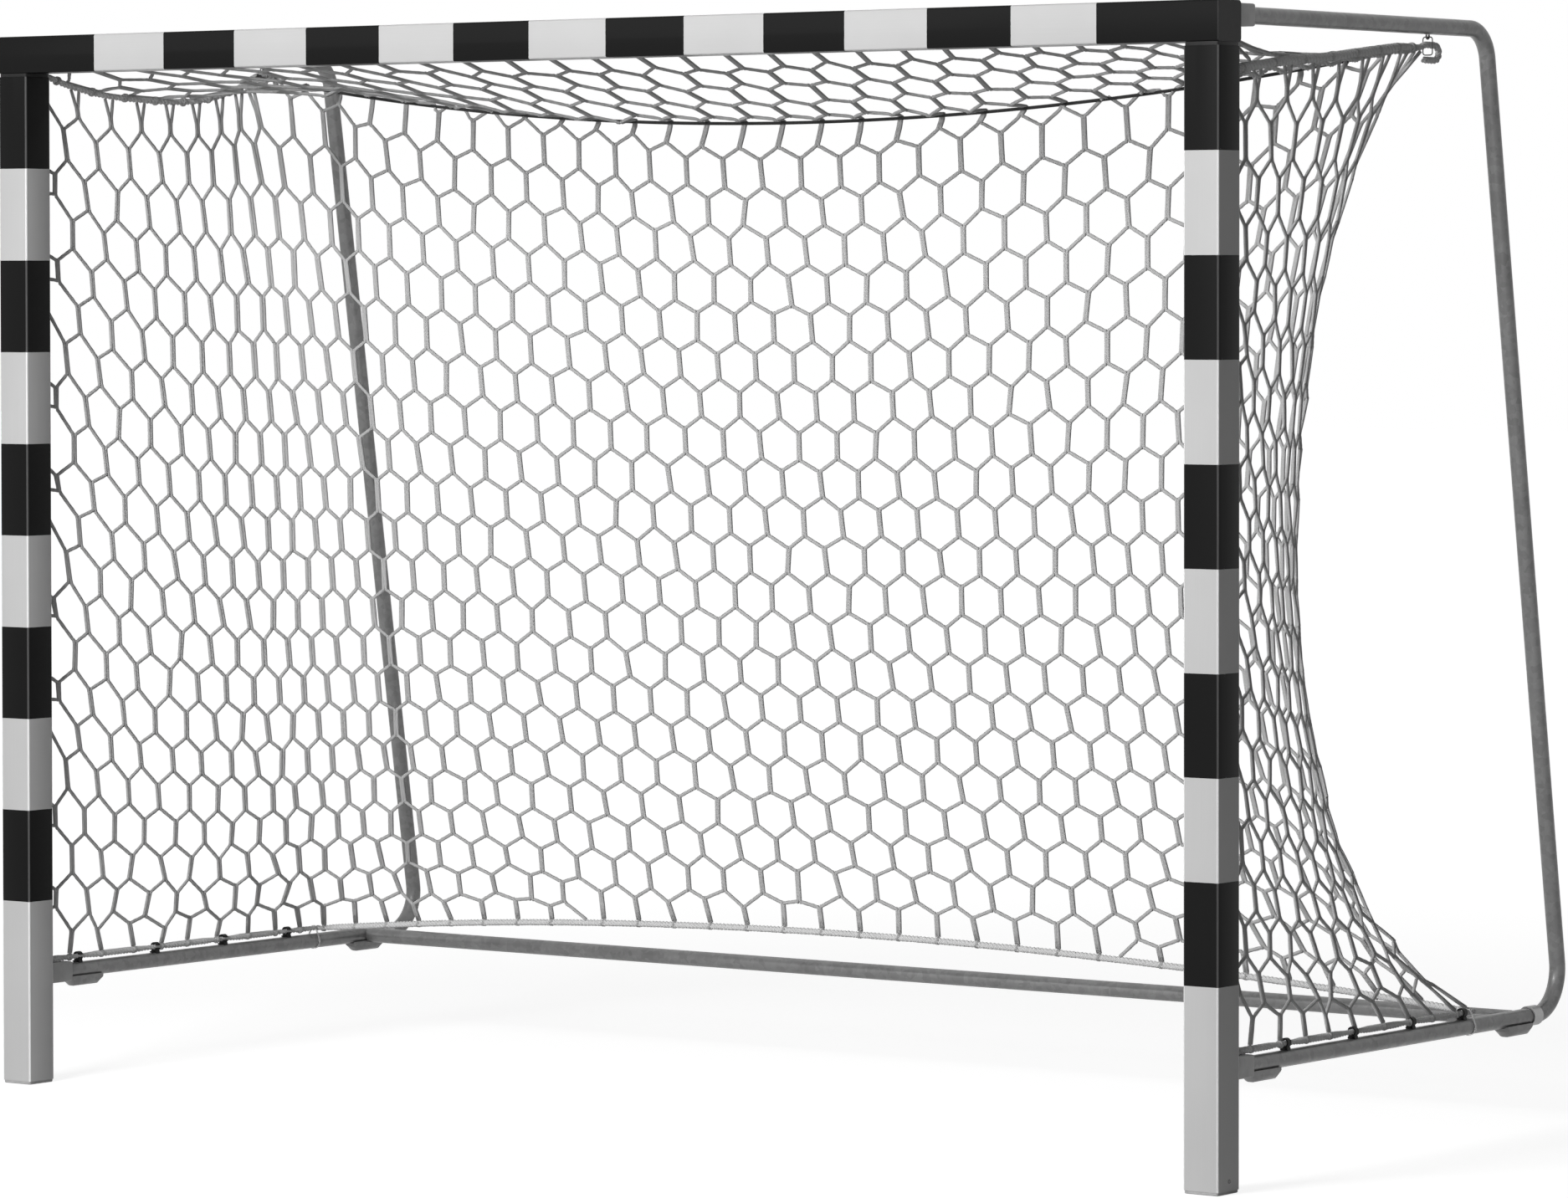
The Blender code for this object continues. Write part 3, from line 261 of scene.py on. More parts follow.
class Strands:
    """Gathers tubes into one mesh. Each vertex keeps how far along its strand it lies."""

    def __init__(self):
        self.verts = []
        self.faces = []
        self.along = []
        self.count = 0

    def add(self, path, radii, sides, normal=None, closed=False):
        """A tube along path.

        radii is (across, through), where through lies along normal, and both may vary by point."""
        path = np.asarray(path, float)
        count = len(path)
        if closed:
            ahead = np.roll(path, -1, 0)
            behind = np.roll(path, 1, 0)
        else:
            ahead = np.concatenate([path[1:], path[-1:]])
            behind = np.concatenate([path[:1], path[:-1]])
        along = unit(ahead - behind)
        if normal is None:
            through = carried_normals(along)
        else:
            through = np.broadcast_to(np.asarray(normal, float), path.shape)
            through = unit(through - along * dot(through, along)[:, None])
        across = np.cross(through, along)
        wide = np.broadcast_to(np.asarray(radii[0], float), count)
        thick = np.broadcast_to(np.asarray(radii[1], float), count)
        turns = 2 * math.pi * np.arange(sides) / sides
        ring = (
            across[:, None, :] * (wide[:, None] * np.cos(turns))[:, :, None]
            + through[:, None, :] * (thick[:, None] * np.sin(turns))[:, :, None]
        )
        self.verts.append((path[:, None, :] + ring).reshape(-1, 3))
        self.along.append(np.repeat(run_along(path), sides))
        start = self.count
        last = count if closed else count - 1
        for index in range(last):
            low = start + index * sides
            high = start + (index + 1) % count * sides
            for side in range(sides):
                following = (side + 1) % sides
                self.faces.append((low + side, low + following, high + following, high + side))
        if not closed:
            self.faces.append(tuple(range(start + sides - 1, start - 1, -1)))
            self.faces.append(tuple(range(start + (count - 1) * sides, start + count * sides)))
        self.count += count * sides

    def build(self, name, surface):
        """One object of all the tubes so far, which rides on the frame."""
        mesh = bpy.data.meshes.new(name)
        mesh.from_pydata(np.concatenate(self.verts).tolist(), [], self.faces)
        run = mesh.attributes.new("along", "FLOAT", "POINT")
        run.data.foreach_set("value", np.concatenate(self.along).astype(np.float32))
        mesh.shade_smooth()
        mesh.materials.append(surface)
        obj = bpy.data.objects.new(name, mesh)
        bpy.context.scene.collection.objects.link(obj)
        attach(obj, "frame")
        return obj


def unit(vectors):
    return vectors / np.maximum(np.linalg.norm(vectors, axis=-1, keepdims=True), 1e-9)


def dot(first, second):
    return np.einsum("ij,ij->i", first, second)


def run_along(path):
    """How far along a path each of its points lies."""
    return np.concatenate([[0], np.cumsum(np.linalg.norm(np.diff(path, axis=0), axis=1))])


def carried_normals(along):
    """A normal at each point of a path, carried along it without twist."""
    start = np.cross(along[0], (0, 0, 1) if abs(along[0][2]) < 0.9 else (1, 0, 0))
    normals = [unit(start)]
    for tangent in along[1:]:
        moved = normals[-1] - tangent * np.dot(normals[-1], tangent)
        normals.append(unit(moved))
    return np.array(normals)


def smooth(points, per_span):
    """A Catmull-Rom curve through the points, with per_span points for each span."""
    points = np.asarray(points, float)
    ends = np.concatenate([[2 * points[0] - points[1]], points, [2 * points[-1] - points[-2]]])
    a, b, c, d = ends[:-3], ends[1:-2], ends[2:-1], ends[3:]
    t = (np.arange(per_span) / per_span)[None, :, None]
    a, b, c, d = (part[:, None, :] for part in (a, b, c, d))
    curve = (2 * b + (c - a) * t + (2 * a - 5 * b + 4 * c - d) * t**2 + (3 * b - a - 3 * c + d) * t**3) / 2
    return np.concatenate([curve.reshape(-1, points.shape[1]), points[-1:]])


def evenly(path, step):
    """Points about step apart along a path."""
    path = np.asarray(path, float)
    run = run_along(path)
    count = max(int(round(run[-1] / step)), 2) + 1
    places = np.linspace(0, run[-1], count)
    return np.stack([np.interp(places, run, path[:, axis]) for axis in range(3)], 1)


def arc(centre, radius, start, end, steps):
    """Points from start to end in degrees, both included."""
    angles = np.radians(np.linspace(start, end, steps + 1))
    return [(centre[0] + radius * math.cos(a), centre[1] + radius * math.sin(a)) for a in angles]


# Materials

class Surface:
    """A material with a Principled shader and short calls for its nodes."""

    def __init__(self, name, **values):
        self.material = bpy.data.materials.new(name)
        self.material.use_nodes = True
        self.tree = self.material.node_tree
        self.shader = self.tree.nodes["Principled BSDF"]
        for socket, value in values.items():
            self.shader.inputs[socket.replace("_", " ")].default_value = value
        self.place = self.tree.nodes.new("ShaderNodeTexCoord").outputs["Object"]

    def put(self, socket, value):
        if isinstance(value, bpy.types.NodeSocket):
            self.tree.links.new(value, socket)
        elif socket.type == "RGBA" and not hasattr(value, "__len__"):
            socket.default_value = (value, value, value, 1)
        else:
            socket.default_value = value

    def math(self, operation, first, second=0.0):
        node = self.tree.nodes.new("ShaderNodeMath")
        node.operation = operation
        self.put(node.inputs[0], first)
        self.put(node.inputs[1], second)
        return node.outputs[0]

    def mix(self, factor, first, second):
        node = self.tree.nodes.new("ShaderNodeMix")
        node.data_type = "RGBA"
        self.put(node.inputs[0], factor)
        self.put(node.inputs[6], first)
        self.put(node.inputs[7], second)
        return node.outputs[2]

    def between(self, value, low, high):
        """Maps 0 to 1 onto low to high."""
        node = self.tree.nodes.new("ShaderNodeMapRange")
        self.put(node.inputs["Value"], value)
        node.inputs["To Min"].default_value = low
        node.inputs["To Max"].default_value = high
        return node.outputs[0]

    def above(self, value, low, high):
        """0 under low, 1 over high, and a ramp between."""
        node = self.tree.nodes.new("ShaderNodeMapRange")
        self.put(node.inputs["Value"], value)
        node.inputs["From Min"].default_value = low
        node.inputs["From Max"].default_value = high
        return node.outputs[0]

    def stretched(self, scale):
        node = self.tree.nodes.new("ShaderNodeMapping")
        self.tree.links.new(self.place, node.inputs["Vector"])
        node.inputs["Scale"].default_value = scale
        return node.outputs[0]

    def noise(self, scale, detail, stretch=None):
        node = self.tree.nodes.new("ShaderNodeTexNoise")
        place = self.place if stretch is None else self.stretched(stretch)
        self.tree.links.new(place, node.inputs["Vector"])
        node.inputs["Scale"].default_value = scale
        node.inputs["Detail"].default_value = detail
        return node.outputs["Fac"]

    def cells(self, scale):
        """The parts of a random colour that stays the same over each cell."""
        node = self.tree.nodes.new("ShaderNodeTexVoronoi")
        self.tree.links.new(self.place, node.inputs["Vector"])
        node.inputs["Scale"].default_value = scale
        split = self.tree.nodes.new("ShaderNodeSeparateColor")
        self.tree.links.new(node.outputs["Color"], split.inputs[0])
        return split.outputs

    def corner(self):
        """1 on the rounded upright corners of a square profile and 0 on its flat faces: the mask of a painted
        highlight there.
        """
        node = self.tree.nodes.new("ShaderNodeNewGeometry")
        split = self.tree.nodes.new("ShaderNodeSeparateXYZ")
        self.tree.links.new(node.outputs["Normal"], split.inputs[0])
        both = self.math("ABSOLUTE", self.math("MULTIPLY", split.outputs[0], split.outputs[1]))
        return self.above(both, 0.15, 0.4)

    def axes(self):
        node = self.tree.nodes.new("ShaderNodeSeparateXYZ")
        self.tree.links.new(self.place, node.inputs[0])
        return node.outputs

    def attribute(self, name):
        node = self.tree.nodes.new("ShaderNodeAttribute")
        node.attribute_name = name
        return node.outputs["Fac"]

    def bump(self, height, distance):
        node = self.tree.nodes.new("ShaderNodeBump")
        node.inputs["Strength"].default_value = 1.0
        node.inputs["Distance"].default_value = distance
        self.put(node.inputs["Height"], height)
        self.put(self.shader.inputs["Normal"], node.outputs[0])

    def set(self, socket, value):
        self.put(self.shader.inputs[socket], value)


def striped_surface(name, axis):
    """Silver profile with black bands and a painted highlight on its rounded upright corners: axis X for the
    crossbar and Z for the posts.
    """
    made = Surface(name, Specular_IOR_Level=0.05, Coat_Weight=0.06, Coat_Roughness=0.1)
    x, _, z = made.axes()
    if axis == "X":
        band = made.math("FLOOR", made.math("DIVIDE", made.math("ADD", x, CORNER_BAND_START), BAND))
        odd = made.math("ABSOLUTE", made.math("MODULO", band, 2.0))
        corner = made.math("GREATER_THAN", made.math("ABSOLUTE", x), CORNER_BAND_START)
        black = made.math("MAXIMUM", odd, corner)
        grain = (0.15, 40, 40)
    else:
        band = made.math("FLOOR", made.math("DIVIDE", made.math("SUBTRACT", POST_TOP, z), BAND))
        even = made.math("SUBTRACT", 1.0, made.math("ABSOLUTE", made.math("MODULO", band, 2.0)))
        black = made.math("MULTIPLY", even, made.math("GREATER_THAN", z, BAND))
        grain = (40, 40, 0.15)
    lines = made.noise(30, 4.0, grain)
    cloud = made.noise(6, 2.0)
    speck = made.noise(900, 1.0)
    tone = made.math("MULTIPLY", made.math("ADD", lines, cloud), 0.5)
    silver = made.mix(tone, 0.55, 0.65)
    dark = made.mix(speck, 0.005, 0.008)
    # Painted highlight: the rounded upright corners are lightened to white on the silver bands and to 0.11 on
    # the black ones.
    corners = made.mix(black, 1.0, 0.11)
    made.set("Base Color", made.mix(made.corner(), made.mix(black, silver, dark), corners))
    made.set("Metallic", made.between(black, 0.03, 0.0))
    rough = made.math("ADD", made.between(black, 0.3, 0.36), made.math("MULTIPLY", cloud, 0.08))
    made.set("Roughness", rough)
    drawn = made.math("MULTIPLY", lines, made.between(black, 1.0, 0.3))
    made.bump(made.math("ADD", drawn, made.math("MULTIPLY", speck, 0.5)), 0.00004)
    return made.material


def galvanised_surface():
    made = Surface("galvanised", Metallic=0.25, Specular_IOR_Level=0.3)
    spangle = made.cells(90)
    cloud = made.noise(14, 4.0)
    fine = made.noise(260, 3.0)
    tone = made.math("ADD", made.math("MULTIPLY", spangle[0], 0.35), made.math("MULTIPLY", cloud, 0.65))
    made.set("Base Color", made.mix(tone, 0.17, 0.34))
    grain = made.math("MULTIPLY", made.math("ADD", fine, spangle[1]), 0.5)
    made.set("Roughness", made.between(grain, 0.26, 0.42))
    made.bump(made.math("ADD", cloud, made.math("MULTIPLY", fine, 0.4)), 0.00015)
    return made.material


def steel_surface(name, tone, roughness):
    made = Surface(name, Metallic=1.0)
    grain = made.noise(300, 3.0)
    made.set("Base Color", made.mix(grain, 0.7 * tone, tone))
    made.set("Roughness", made.between(grain, roughness, roughness + 0.15))
    made.bump(grain, 0.00005)
    return made.material


def cast_surface():
    made = Surface("cast_bracket", Metallic=0.3)
    grain = made.noise(500, 4.0)
    cloud = made.noise(40, 2.0)
    made.set("Base Color", made.mix(cloud, 0.2, 0.32))
    made.set("Roughness", made.between(grain, 0.4, 0.6))
    made.bump(grain, 0.0002)
    return made.material


def plastic_surface(name, tone, roughness):
    made = Surface(name, Specular_IOR_Level=0.15)
    grain = made.noise(700, 3.0)
    cloud = made.noise(60, 2.0)
    made.set("Base Color", made.mix(cloud, tone, 1.6 * tone))
    made.set("Roughness", made.between(grain, roughness, roughness + 0.15))
    made.bump(grain, 0.00012)
    return made.material


def clear_surface():
    made = Surface("clear_plastic", Transmission_Weight=0.6, IOR=1.45)
    cloud = made.noise(200, 2.0)
    made.set("Base Color", made.mix(cloud, 0.75, 0.9))
    made.set("Roughness", made.between(cloud, 0.12, 0.3))
    return made.material


def braid_surface(name, low, high, rib):
    """Braided yarn: fine ribs across each strand, rib metres apart, with painted shade in the grooves between
    them, and a mottled tone.
    """
    made = Surface(name, Roughness=0.85, Sheen_Weight=0.15)
    run = made.attribute("along")
    wave = made.math("SINE", made.math("MULTIPLY", run, 2 * math.pi / rib))
    fuzz = made.noise(1600, 3.0)
    cloud = made.noise(9, 3.0)
    groove = made.math("MULTIPLY", made.math("ADD", wave, 1.0), 0.5)
    tone = made.mix(cloud, low, high)
    # Painted shade: the grooves between the ribs are darkened to 0.72 of the low tone; the same wave drives
    # the bump.
    shade = made.mix(groove, 0.72 * low, tone)
    made.set("Base Color", made.mix(fuzz, shade, tone))
    made.bump(made.math("ADD", groove, made.math("MULTIPLY", fuzz, 0.5)), 0.0005)
    return made.material


# Routes

def cord_point(x):
    share = (x + KNOT_X) / (2 * KNOT_X)
    slack = 4 * share * (1 - share)
    return np.array((x, KNOT_Y - CORD_BOW * slack, KNOT_Z - CORD_SAG * slack))


def upper_hem_route(side):
    """The upper hem rope from the post through the link and back under itself, as (distance, height)."""
    points = list(UPPER_HEM[side])
    points += [(KNOT_Y, KNOT_Z), (EYE_Y - ROPE_LEVEL, LOOP_Z), (EYE_Y + ROPE_LEVEL, LOOP_Z)]
    points += arc((EYE_Y + ROPE_LOOP_REACH, LOOP_Z - ROPE_LOOP_RADIUS), ROPE_LOOP_RADIUS, 90, -90, 4)
    points += [(EYE_Y - ROPE_TAIL, LOOP_Z - 2 * ROPE_LOOP_RADIUS)]
    return points


def hem_height(side, y):
    """The upper hem rope's height at a distance, up to where it turns back."""
    before_turn = len(UPPER_HEM[side]) + 3
    route = np.array(upper_hem_route(side)[:before_turn])
    return float(np.interp(y, route[:, 0], route[:, 1]))


def hem_point(x):
    slack = 1 - (x / CORNER_X) ** 2
    return np.array((x, CORNER_Y - HEM_BOW * slack, ROPE_Z + HEM_RISE * slack))


def bottom_hem_route():
    """From the left post along the ground, round both rear corners and back to the right post."""
    end = TIE_Y + TIE_HALF_WIDTH
    depth = CORNER_Y - end
    half = [(POST_X, LACE_Y + (end - LACE_Y) * share, ROPE_Z) for share in (0, 0.25, 0.5, 0.75, 1)]
    half += [(POST_X - inward * depth, end + back * depth, ROPE_Z) for inward, back in CORNER_TURN]
    reach = CORNER_X - CORNER_ROPE_INSET
    half += [tuple(hem_point(reach * (1 - step / HEM_STEPS))) for step in range(HEM_STEPS)]
    other = [(-x, y, z) for x, y, z in half]
    return other + [tuple(hem_point(0))] + half[::-1]


# Ropes

def laid_rope(strands, path, radius, lay, swell=None):
    """A rope of twisted strands along path, with one full turn each lay metres.

    swell gives a factor on the radius for each point."""
    path = evenly(path, lay / LAY_STEPS)
    radius = radius * (np.ones(len(path)) if swell is None else swell(path))
    along = unit(np.gradient(path, axis=0))
    normal = carried_normals(along)
    binormal = np.cross(along, normal)
    run = run_along(path)
    for strand in range(ROPE_STRANDS):
        angle = (2 * math.pi * (run / lay + strand / ROPE_STRANDS))[:, None]
        helix = path + STRAND_OFFSET * radius[:, None] * (normal * np.cos(angle) + binormal * np.sin(angle))
        strands.add(helix, (STRAND_SHARE * radius, STRAND_SHARE * radius), STRAND_SIDES)


def wrap(strands, centre, along, radius, thick):
    """Turns of thin braid round a rope at a point."""
    along = unit(np.asarray(along, float))
    normal = carried_normals(np.array([along]))[0]
    other = np.cross(along, normal)
    count = WRAP_TURNS * WRAP_STEPS + 1
    angle = (2 * math.pi * np.arange(count) / WRAP_STEPS)[:, None]
    shift = np.linspace(-0.5, 0.5, count)[:, None] * 2 * thick * WRAP_TURNS
    around = normal * np.cos(angle) + other * np.sin(angle)
    path = centre + along * shift + around * (radius + WRAP_LIFT * thick)
    strands.add(path, (thick, thick), WRAP_SIDES)


# Net

def post_edge(r):
    """The first half column that the net has beside a post: the sides lose some on the way up."""
    return POST_STEPS * min(r, NET_ROWS) // NET_ROWS


def first_row(k):
    """The lowest row: the middle of the bottom hem takes up one."""
    return 1 if abs(k - MIDDLE) < SHORT_REACH else 0


def cord_row(k):
    """The row, with its fraction, at which the black cord crosses half column k."""
    share = (k - MIDDLE) / BACK_COLUMNS
    return NET_ROWS + CORD_RISE * (1 - share**2)


def on_back(k):
    return CORNER < k < LAST - CORNER


def cord_place(k):
    return cord_point(KNOT_X * (k - MIDDLE) / BACK_COLUMNS)


def cord_level(k, r):
    """How far a crossing lies past the cord, up over it and towards the bar; below it this is negative."""
    return (r - cord_row(k)) * ROW_PITCH + (ZIGZAG if (k + r) % 2 == 0 else -ZIGZAG)


def lower_place(k, hem):
    """Where half column k meets the bottom hem rope, given as points and their run along it."""
    points, run = hem
    quarter = len(points) // 4
    corner_run = float(np.interp(-CORNER_X, points[quarter:, 0], run[quarter:]))
    near = min(k, LAST - k)
    if near <= CORNER:
        place = corner_run * near / CORNER
        if k > MIDDLE:
            place = run[-1] - place
        place += HEM_SHIFT * math.sin(HEM_SHIFT_TURN * k) * (0 < near < CORNER)
    else:
        place = corner_run + (run[-1] - 2 * corner_run) * (k - CORNER) / (LAST - 2 * CORNER)
    spot = [float(np.interp(place, run, points[:, axis])) for axis in range(3)]
    return np.array(spot) + (0, 0, HEM_TOP)


def upper_place(k):
    """Where half column k of a side meets the upper hem rope."""
    name = "left" if k < MIDDLE else "right"
    share = (min(k, LAST - k) - POST_STEPS) / (CORNER - POST_STEPS)
    y = UPPER_START_Y + (NET_CORNER_Y - UPPER_START_Y) * (1 - (1 - share) ** UPPER_CROWDING)
    return np.array((SIDES[name] * POST_X, y, hem_height(name, y) - UPPER_ROPE_RADIUS))


def bar_x(k):
    """The roof is drawn a little to the right along the crossbar, and crowded at the bar's ends."""
    column = (k - MIDDLE) / 2
    x = ROOF_SHIFT + ROOF_CELL * column - ROOF_NARROWING * column**2
    room = POST_X - BAR_END_GAP - ROOF_FREE_X
    past = max(abs(x) - ROOF_FREE_X, 0)
    return math.copysign(min(abs(x), ROOF_FREE_X) + room * (1 - math.exp(-past / room)), x)


def roof_place(k, r):
    """Where the roof's half column k is held: in the crossbar's groove, or on an upper hem rope."""
    if r == ROOF_END:
        return np.array((bar_x(k), BAR_LACE_Y, BAR_AXIS_Z))
    share = (r - NET_ROWS) / (ROOF_END - NET_ROWS)
    name = "left" if k == CORNER else "right"
    y = NET_CORNER_Y - (NET_CORNER_Y - POST_REAR) * share
    return np.array((SIDES[name] * POST_X, y, hem_height(name, max(y, HEM_START_Y)) + UPPER_ROPE_RADIUS))


def post_place(k, r):
    """Where row r is laced into a post's groove."""
    side = "left" if k < MIDDLE else "right"
    low = ROPE_Z + ROPE_RADIUS
    high = hem_height(side, HEM_START_Y)
    step = (high - low) / NET_ROWS
    swing = step / 6 * (1 if (k + r) % 2 else -1) if 0 < r < NET_ROWS else 0
    return np.array((SIDES[side] * POST_X, LACE_Y, low + step * r + swing))


def held_place(k, r, hem):
    """The place of a crossing that something holds, or None where it hangs free."""
    if r == ROOF_END or (r > NET_ROWS and not on_back(k)):
        return roof_place(k, r)
    if min(k, LAST - k) == post_edge(r):
        return post_place(k, r)
    if r == first_row(k):
        return lower_place(k, hem)
    if not on_back(k):
        return upper_place(k) if r == NET_ROWS else None
    if r == round(cord_row(k)):
        level = cord_level(k, r)
        above = (0, -level, ROOF_START_RISE * level + CORD_RADIUS)
        return cord_place(k) + ((0, 0, level) if level < 0 else above)
    return None


def slant_weight(k, r):
    """Pull of a slanted strand: more beside the rear corners, where the cells are narrow."""
    if r > cord_row(k):
        return 1.0
    past = (min(k, LAST - k) - CORNER) / SLANT_SPREAD
    return 1 + SLANT_EXTRA * math.exp(-(past**2))


def wall_weight(k, r):
    """Pull of an upright double strand: less on the back than on the sides, and least at the top."""
    if r >= NET_ROWS:
        return 1.0
    nearest = min(k, LAST - k) / CORNER
    return WALL_PULL - WALL_LOSS * min(max((nearest - WALL_LOSS_START) / WALL_LOSS_SPAN, 0), 1)


def push_on(k, r):
    """What bears on a free crossing besides its strands: its weight, and the ease of the rear corners."""
    inward = -1 if k < MIDDLE else 1
    near = min(k, LAST - k)
    corner = math.exp(-(((near - CORNER) / EASE_SPREAD) ** 2)) * (r < NET_ROWS)
    side = 1 / (1 + math.exp((near - CORNER) / SAG_SPREAD))
    sag = BACK_SAG + (SIDE_SAG - BACK_SAG) * side
    return np.array((inward * corner * CORNER_EASE, corner * CORNER_EASE, -sag))


def crossings():
    """The keys of the net's crossings: half column and row."""
    keys = []
    for k in range(LAST + 1):
        top = ROOF_END if CORNER <= k <= LAST - CORNER else NET_ROWS
        keys += [(k, r) for r in range(first_row(k), top + 1) if min(k, LAST - k) >= post_edge(r)]
    return keys


def relaxed(hem):
    """Places every crossing so that each free one is in balance, and then shifts the free ones a little.

    That shift is random with a fixed seed, and larger in the lowest rows.
    Double strands join rows where k + r is even, and single slanted ones join neighbours in a row."""
    keys = crossings()
    index = {key: number for number, key in enumerate(keys)}
    held = np.zeros(len(keys), bool)
    places = np.zeros((len(keys), 3))
    push = np.array([push_on(k, r) for k, r in keys])
    matrix = np.zeros((len(keys), len(keys)))
    for (k, r), here in index.items():
        place = held_place(k, r, hem)
        if place is not None:
            held[here] = True
            places[here] = place
        for neighbour, weight in (((k + 1, r), slant_weight(k, r)), ((k, r + 1), wall_weight(k, r))):
            if neighbour not in index or (neighbour[0] == k and (k + r) % 2):
                continue
            other = index[neighbour]
            matrix[here, here] += weight
            matrix[other, other] += weight
            matrix[here, other] -= weight
            matrix[other, here] -= weight
    free = ~held
    known = -matrix[np.ix_(free, held)] @ places[held] + push[free]
    places[free] = np.linalg.solve(matrix[np.ix_(free, free)], known)
    random = np.random.default_rng(SEED)
    for (k, r), here in index.items():
        shift = random.normal(0, 1, 3)
        if not held[here]:
            places[here] += shift * (LOOSE + BOTTOM_LOOSE * max(0, 1 - r / BOTTOM_LOOSE_ROWS))
    return {key: places[number] for key, number in index.items()}


class Net:
    """The net's crossings, and the normal and the direction across at each."""

    def __init__(self, hem):
        self.known = relaxed(hem)
        grid = np.zeros((LAST + 1, ROOF_END + 1, 3))
        for k in range(LAST + 1):
            for r in range(ROOF_END + 1):
                grid[k, r] = self.filled(k, r)
        self.across = unit(np.gradient(grid, axis=0))
        up = unit(np.gradient(grid, axis=1))
        self.normal = unit(np.cross(self.across, up))

    def filled(self, k, r):
        """A crossing, or a stand-in for one past the net's edge."""
        if (k, r) in self.known:
            return self.known[k, r]
        if r < first_row(k):
            return self.known[k, first_row(k)] - (0, 0, ROW_PITCH)
        if not CORNER <= k <= LAST - CORNER and r > NET_ROWS:
            return self.filled(k, NET_ROWS) + (0, 0, ROW_PITCH * (r - NET_ROWS))
        edge = post_edge(r) if k < MIDDLE else LAST - post_edge(r)
        return self.known[edge, r] - np.array((0, STAND_IN_STEP, 0)) * abs(edge - k)

    def stretch(self, first, second, shares, offset):
        """Points and normals between two crossings.

        The middle one is left out on an upright strand, unless it goes over the black cord."""
        level = [cord_level(*key) if on_back(key[0]) else -1 for key in (first, second)]
        crosses = level[0] * level[1] < 0 and abs(first[1] - cord_row(first[0])) < 2
        for share in shares:
            if share == HALFWAY and not crosses and first[0] == second[0]:
                continue
            if crosses and share == HALFWAY:
                share = level[0] / (level[0] - level[1])
                x = (self.known[first] * (1 - share) + self.known[second] * share)[0]
                place = cord_point(x) + OVER_CORD
            else:
                place = self.known[first] * (1 - share) + self.known[second] * share
            near = first if share < HALFWAY else second
            yield place + self.across[near] * offset, self.normal[near]

    def braid(self, column):
        """One braid from edge to edge.

        It swings between two half columns, beside its partner in each double strand."""
        top = NET_ROWS if not CORNER <= column < LAST - CORNER else ROOF_END
        path = []
        for row in range(top):
            here = column if (column + row) % 2 == 0 else column + 1
            other = 2 * column + 1 - here
            if (here, row) not in self.known or (here, row + 1) not in self.known:
                if path:
                    break
                continue
            if not path and first_row(here) < row < NET_ROWS and (other, row) in self.known:
                path += self.stretch((other, row), (here, row), START_SHARES, 0)
            way = 0.5 if here == column else -0.5
            if row + 1 == top == NET_ROWS:
                path += self.stretch((here, row), (here, row + 1), TOP_SHARES, way * BRAID_SPACING)
                path += self.stretch((here, row), (here, row + 1), (1.0,), way * TOP_SPREAD)
            else:
                path += self.stretch((here, row), (here, row + 1), UPRIGHT_SHARES, way * BRAID_SPACING)
            if row + 1 == top or (other, row + 1) not in self.known:
                break
            path += self.stretch((here, row + 1), (other, row + 1), SLANT_SHARES, 0)
            if (other, row + 2) not in self.known:
                path += self.stretch((here, row + 1), (other, row + 1), (1.0,), 0)
                break
        return np.array([np.concatenate(pair) for pair in path])


def make_nets(surface, hem):
    """The sides and the back with the roof, all of one net that the black cord runs through."""
    net = Net(hem)
    parts = {
        "wall_net_left": (range(0, CORNER), ("net_left",)),
        "back_and_roof_net": (range(CORNER, LAST - CORNER), ("net_back", "net_roof")),
        "wall_net_right": (range(LAST - CORNER, LAST), ("net_right",)),
    }
    for name, (columns, replaced) in parts.items():
        strands = Strands()
        for column in columns:
            both = smooth(net.braid(column), 2)
            ripple = 1 + BRAID_RIPPLE * np.where(np.arange(len(both)) % 2, 1, -1)
            radii = (BRAID_HALF_WIDTH * ripple, BRAID_HALF_THICKNESS * ripple)
            strands.add(both[:, :3], radii, BRAID_SIDES, both[:, 3:])
        for k in columns:
            if (k + first_row(k)) % 2 == 0 and k > 0:
                tie_on(strands, k, hem)
            if not on_back(k) and POST_STEPS < min(k, LAST - k) and k % 2:
                ahead = upper_place(k + 1) - upper_place(k - 1)
                centre = upper_place(k) + (0, 0, UPPER_ROPE_RADIUS)
                wrap(strands, centre, ahead, UPPER_ROPE_RADIUS, WRAP_THICKNESS)
        obj = strands.build(name, surface)
        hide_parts(*replaced)


def tie_on(strands, k, hem):
    """Turns of braid round the bottom hem rope where half column k meets it."""
    ahead = lower_place(k + 1, hem) - lower_place(k - 1, hem)
    centre = lower_place(k, hem) - (0, 0, HEM_TOP)
    wrap(strands, centre, ahead, ROPE_RADIUS, TIE_THICKNESS)


def gathered_edge(sign, side, y):
    """The net's edge cord: it loops below the upper hem rope, less so towards the corner."""
    turn = 2 * math.pi * y / GATHER_LOOP
    loops = 0.5 + 0.5 * math.sin(turn)
    drop = UPPER_ROPE_RADIUS + (GATHER_DROP + GATHER_DEPTH * loops) * (1 - y / EYE_Y)
    return (sign * (POST_X + GATHER_SWAY * math.cos(turn)), y, hem_height(side, y) - drop)


def upper_swell(points):
    """The upper right rope is full from the post on, and thin where it passes the corner link."""
    thin_end = EYE_Y - UPPER_SWELL_GAP
    return 1 + UPPER_SWELL * np.clip((thin_end - points[:, 1]) / UPPER_SWELL_SPAN, 0, 1)


def bottom_swell(points):
    """The bottom rope is fuller between the clips and corner ties that press it."""
    holders = [name for name in nodes if name.startswith(("net_clip", "corner_tie"))]
    held = [np.mean([np.array(corner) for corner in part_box(name)], axis=0) for name in holders]
    gap = np.min([np.linalg.norm(points - place, axis=1) for place in held], axis=0)
    return 1 + BOTTOM_SWELL * np.clip((gap - BOTTOM_SWELL_GAP) / BOTTOM_SWELL_SPAN, 0, 1)


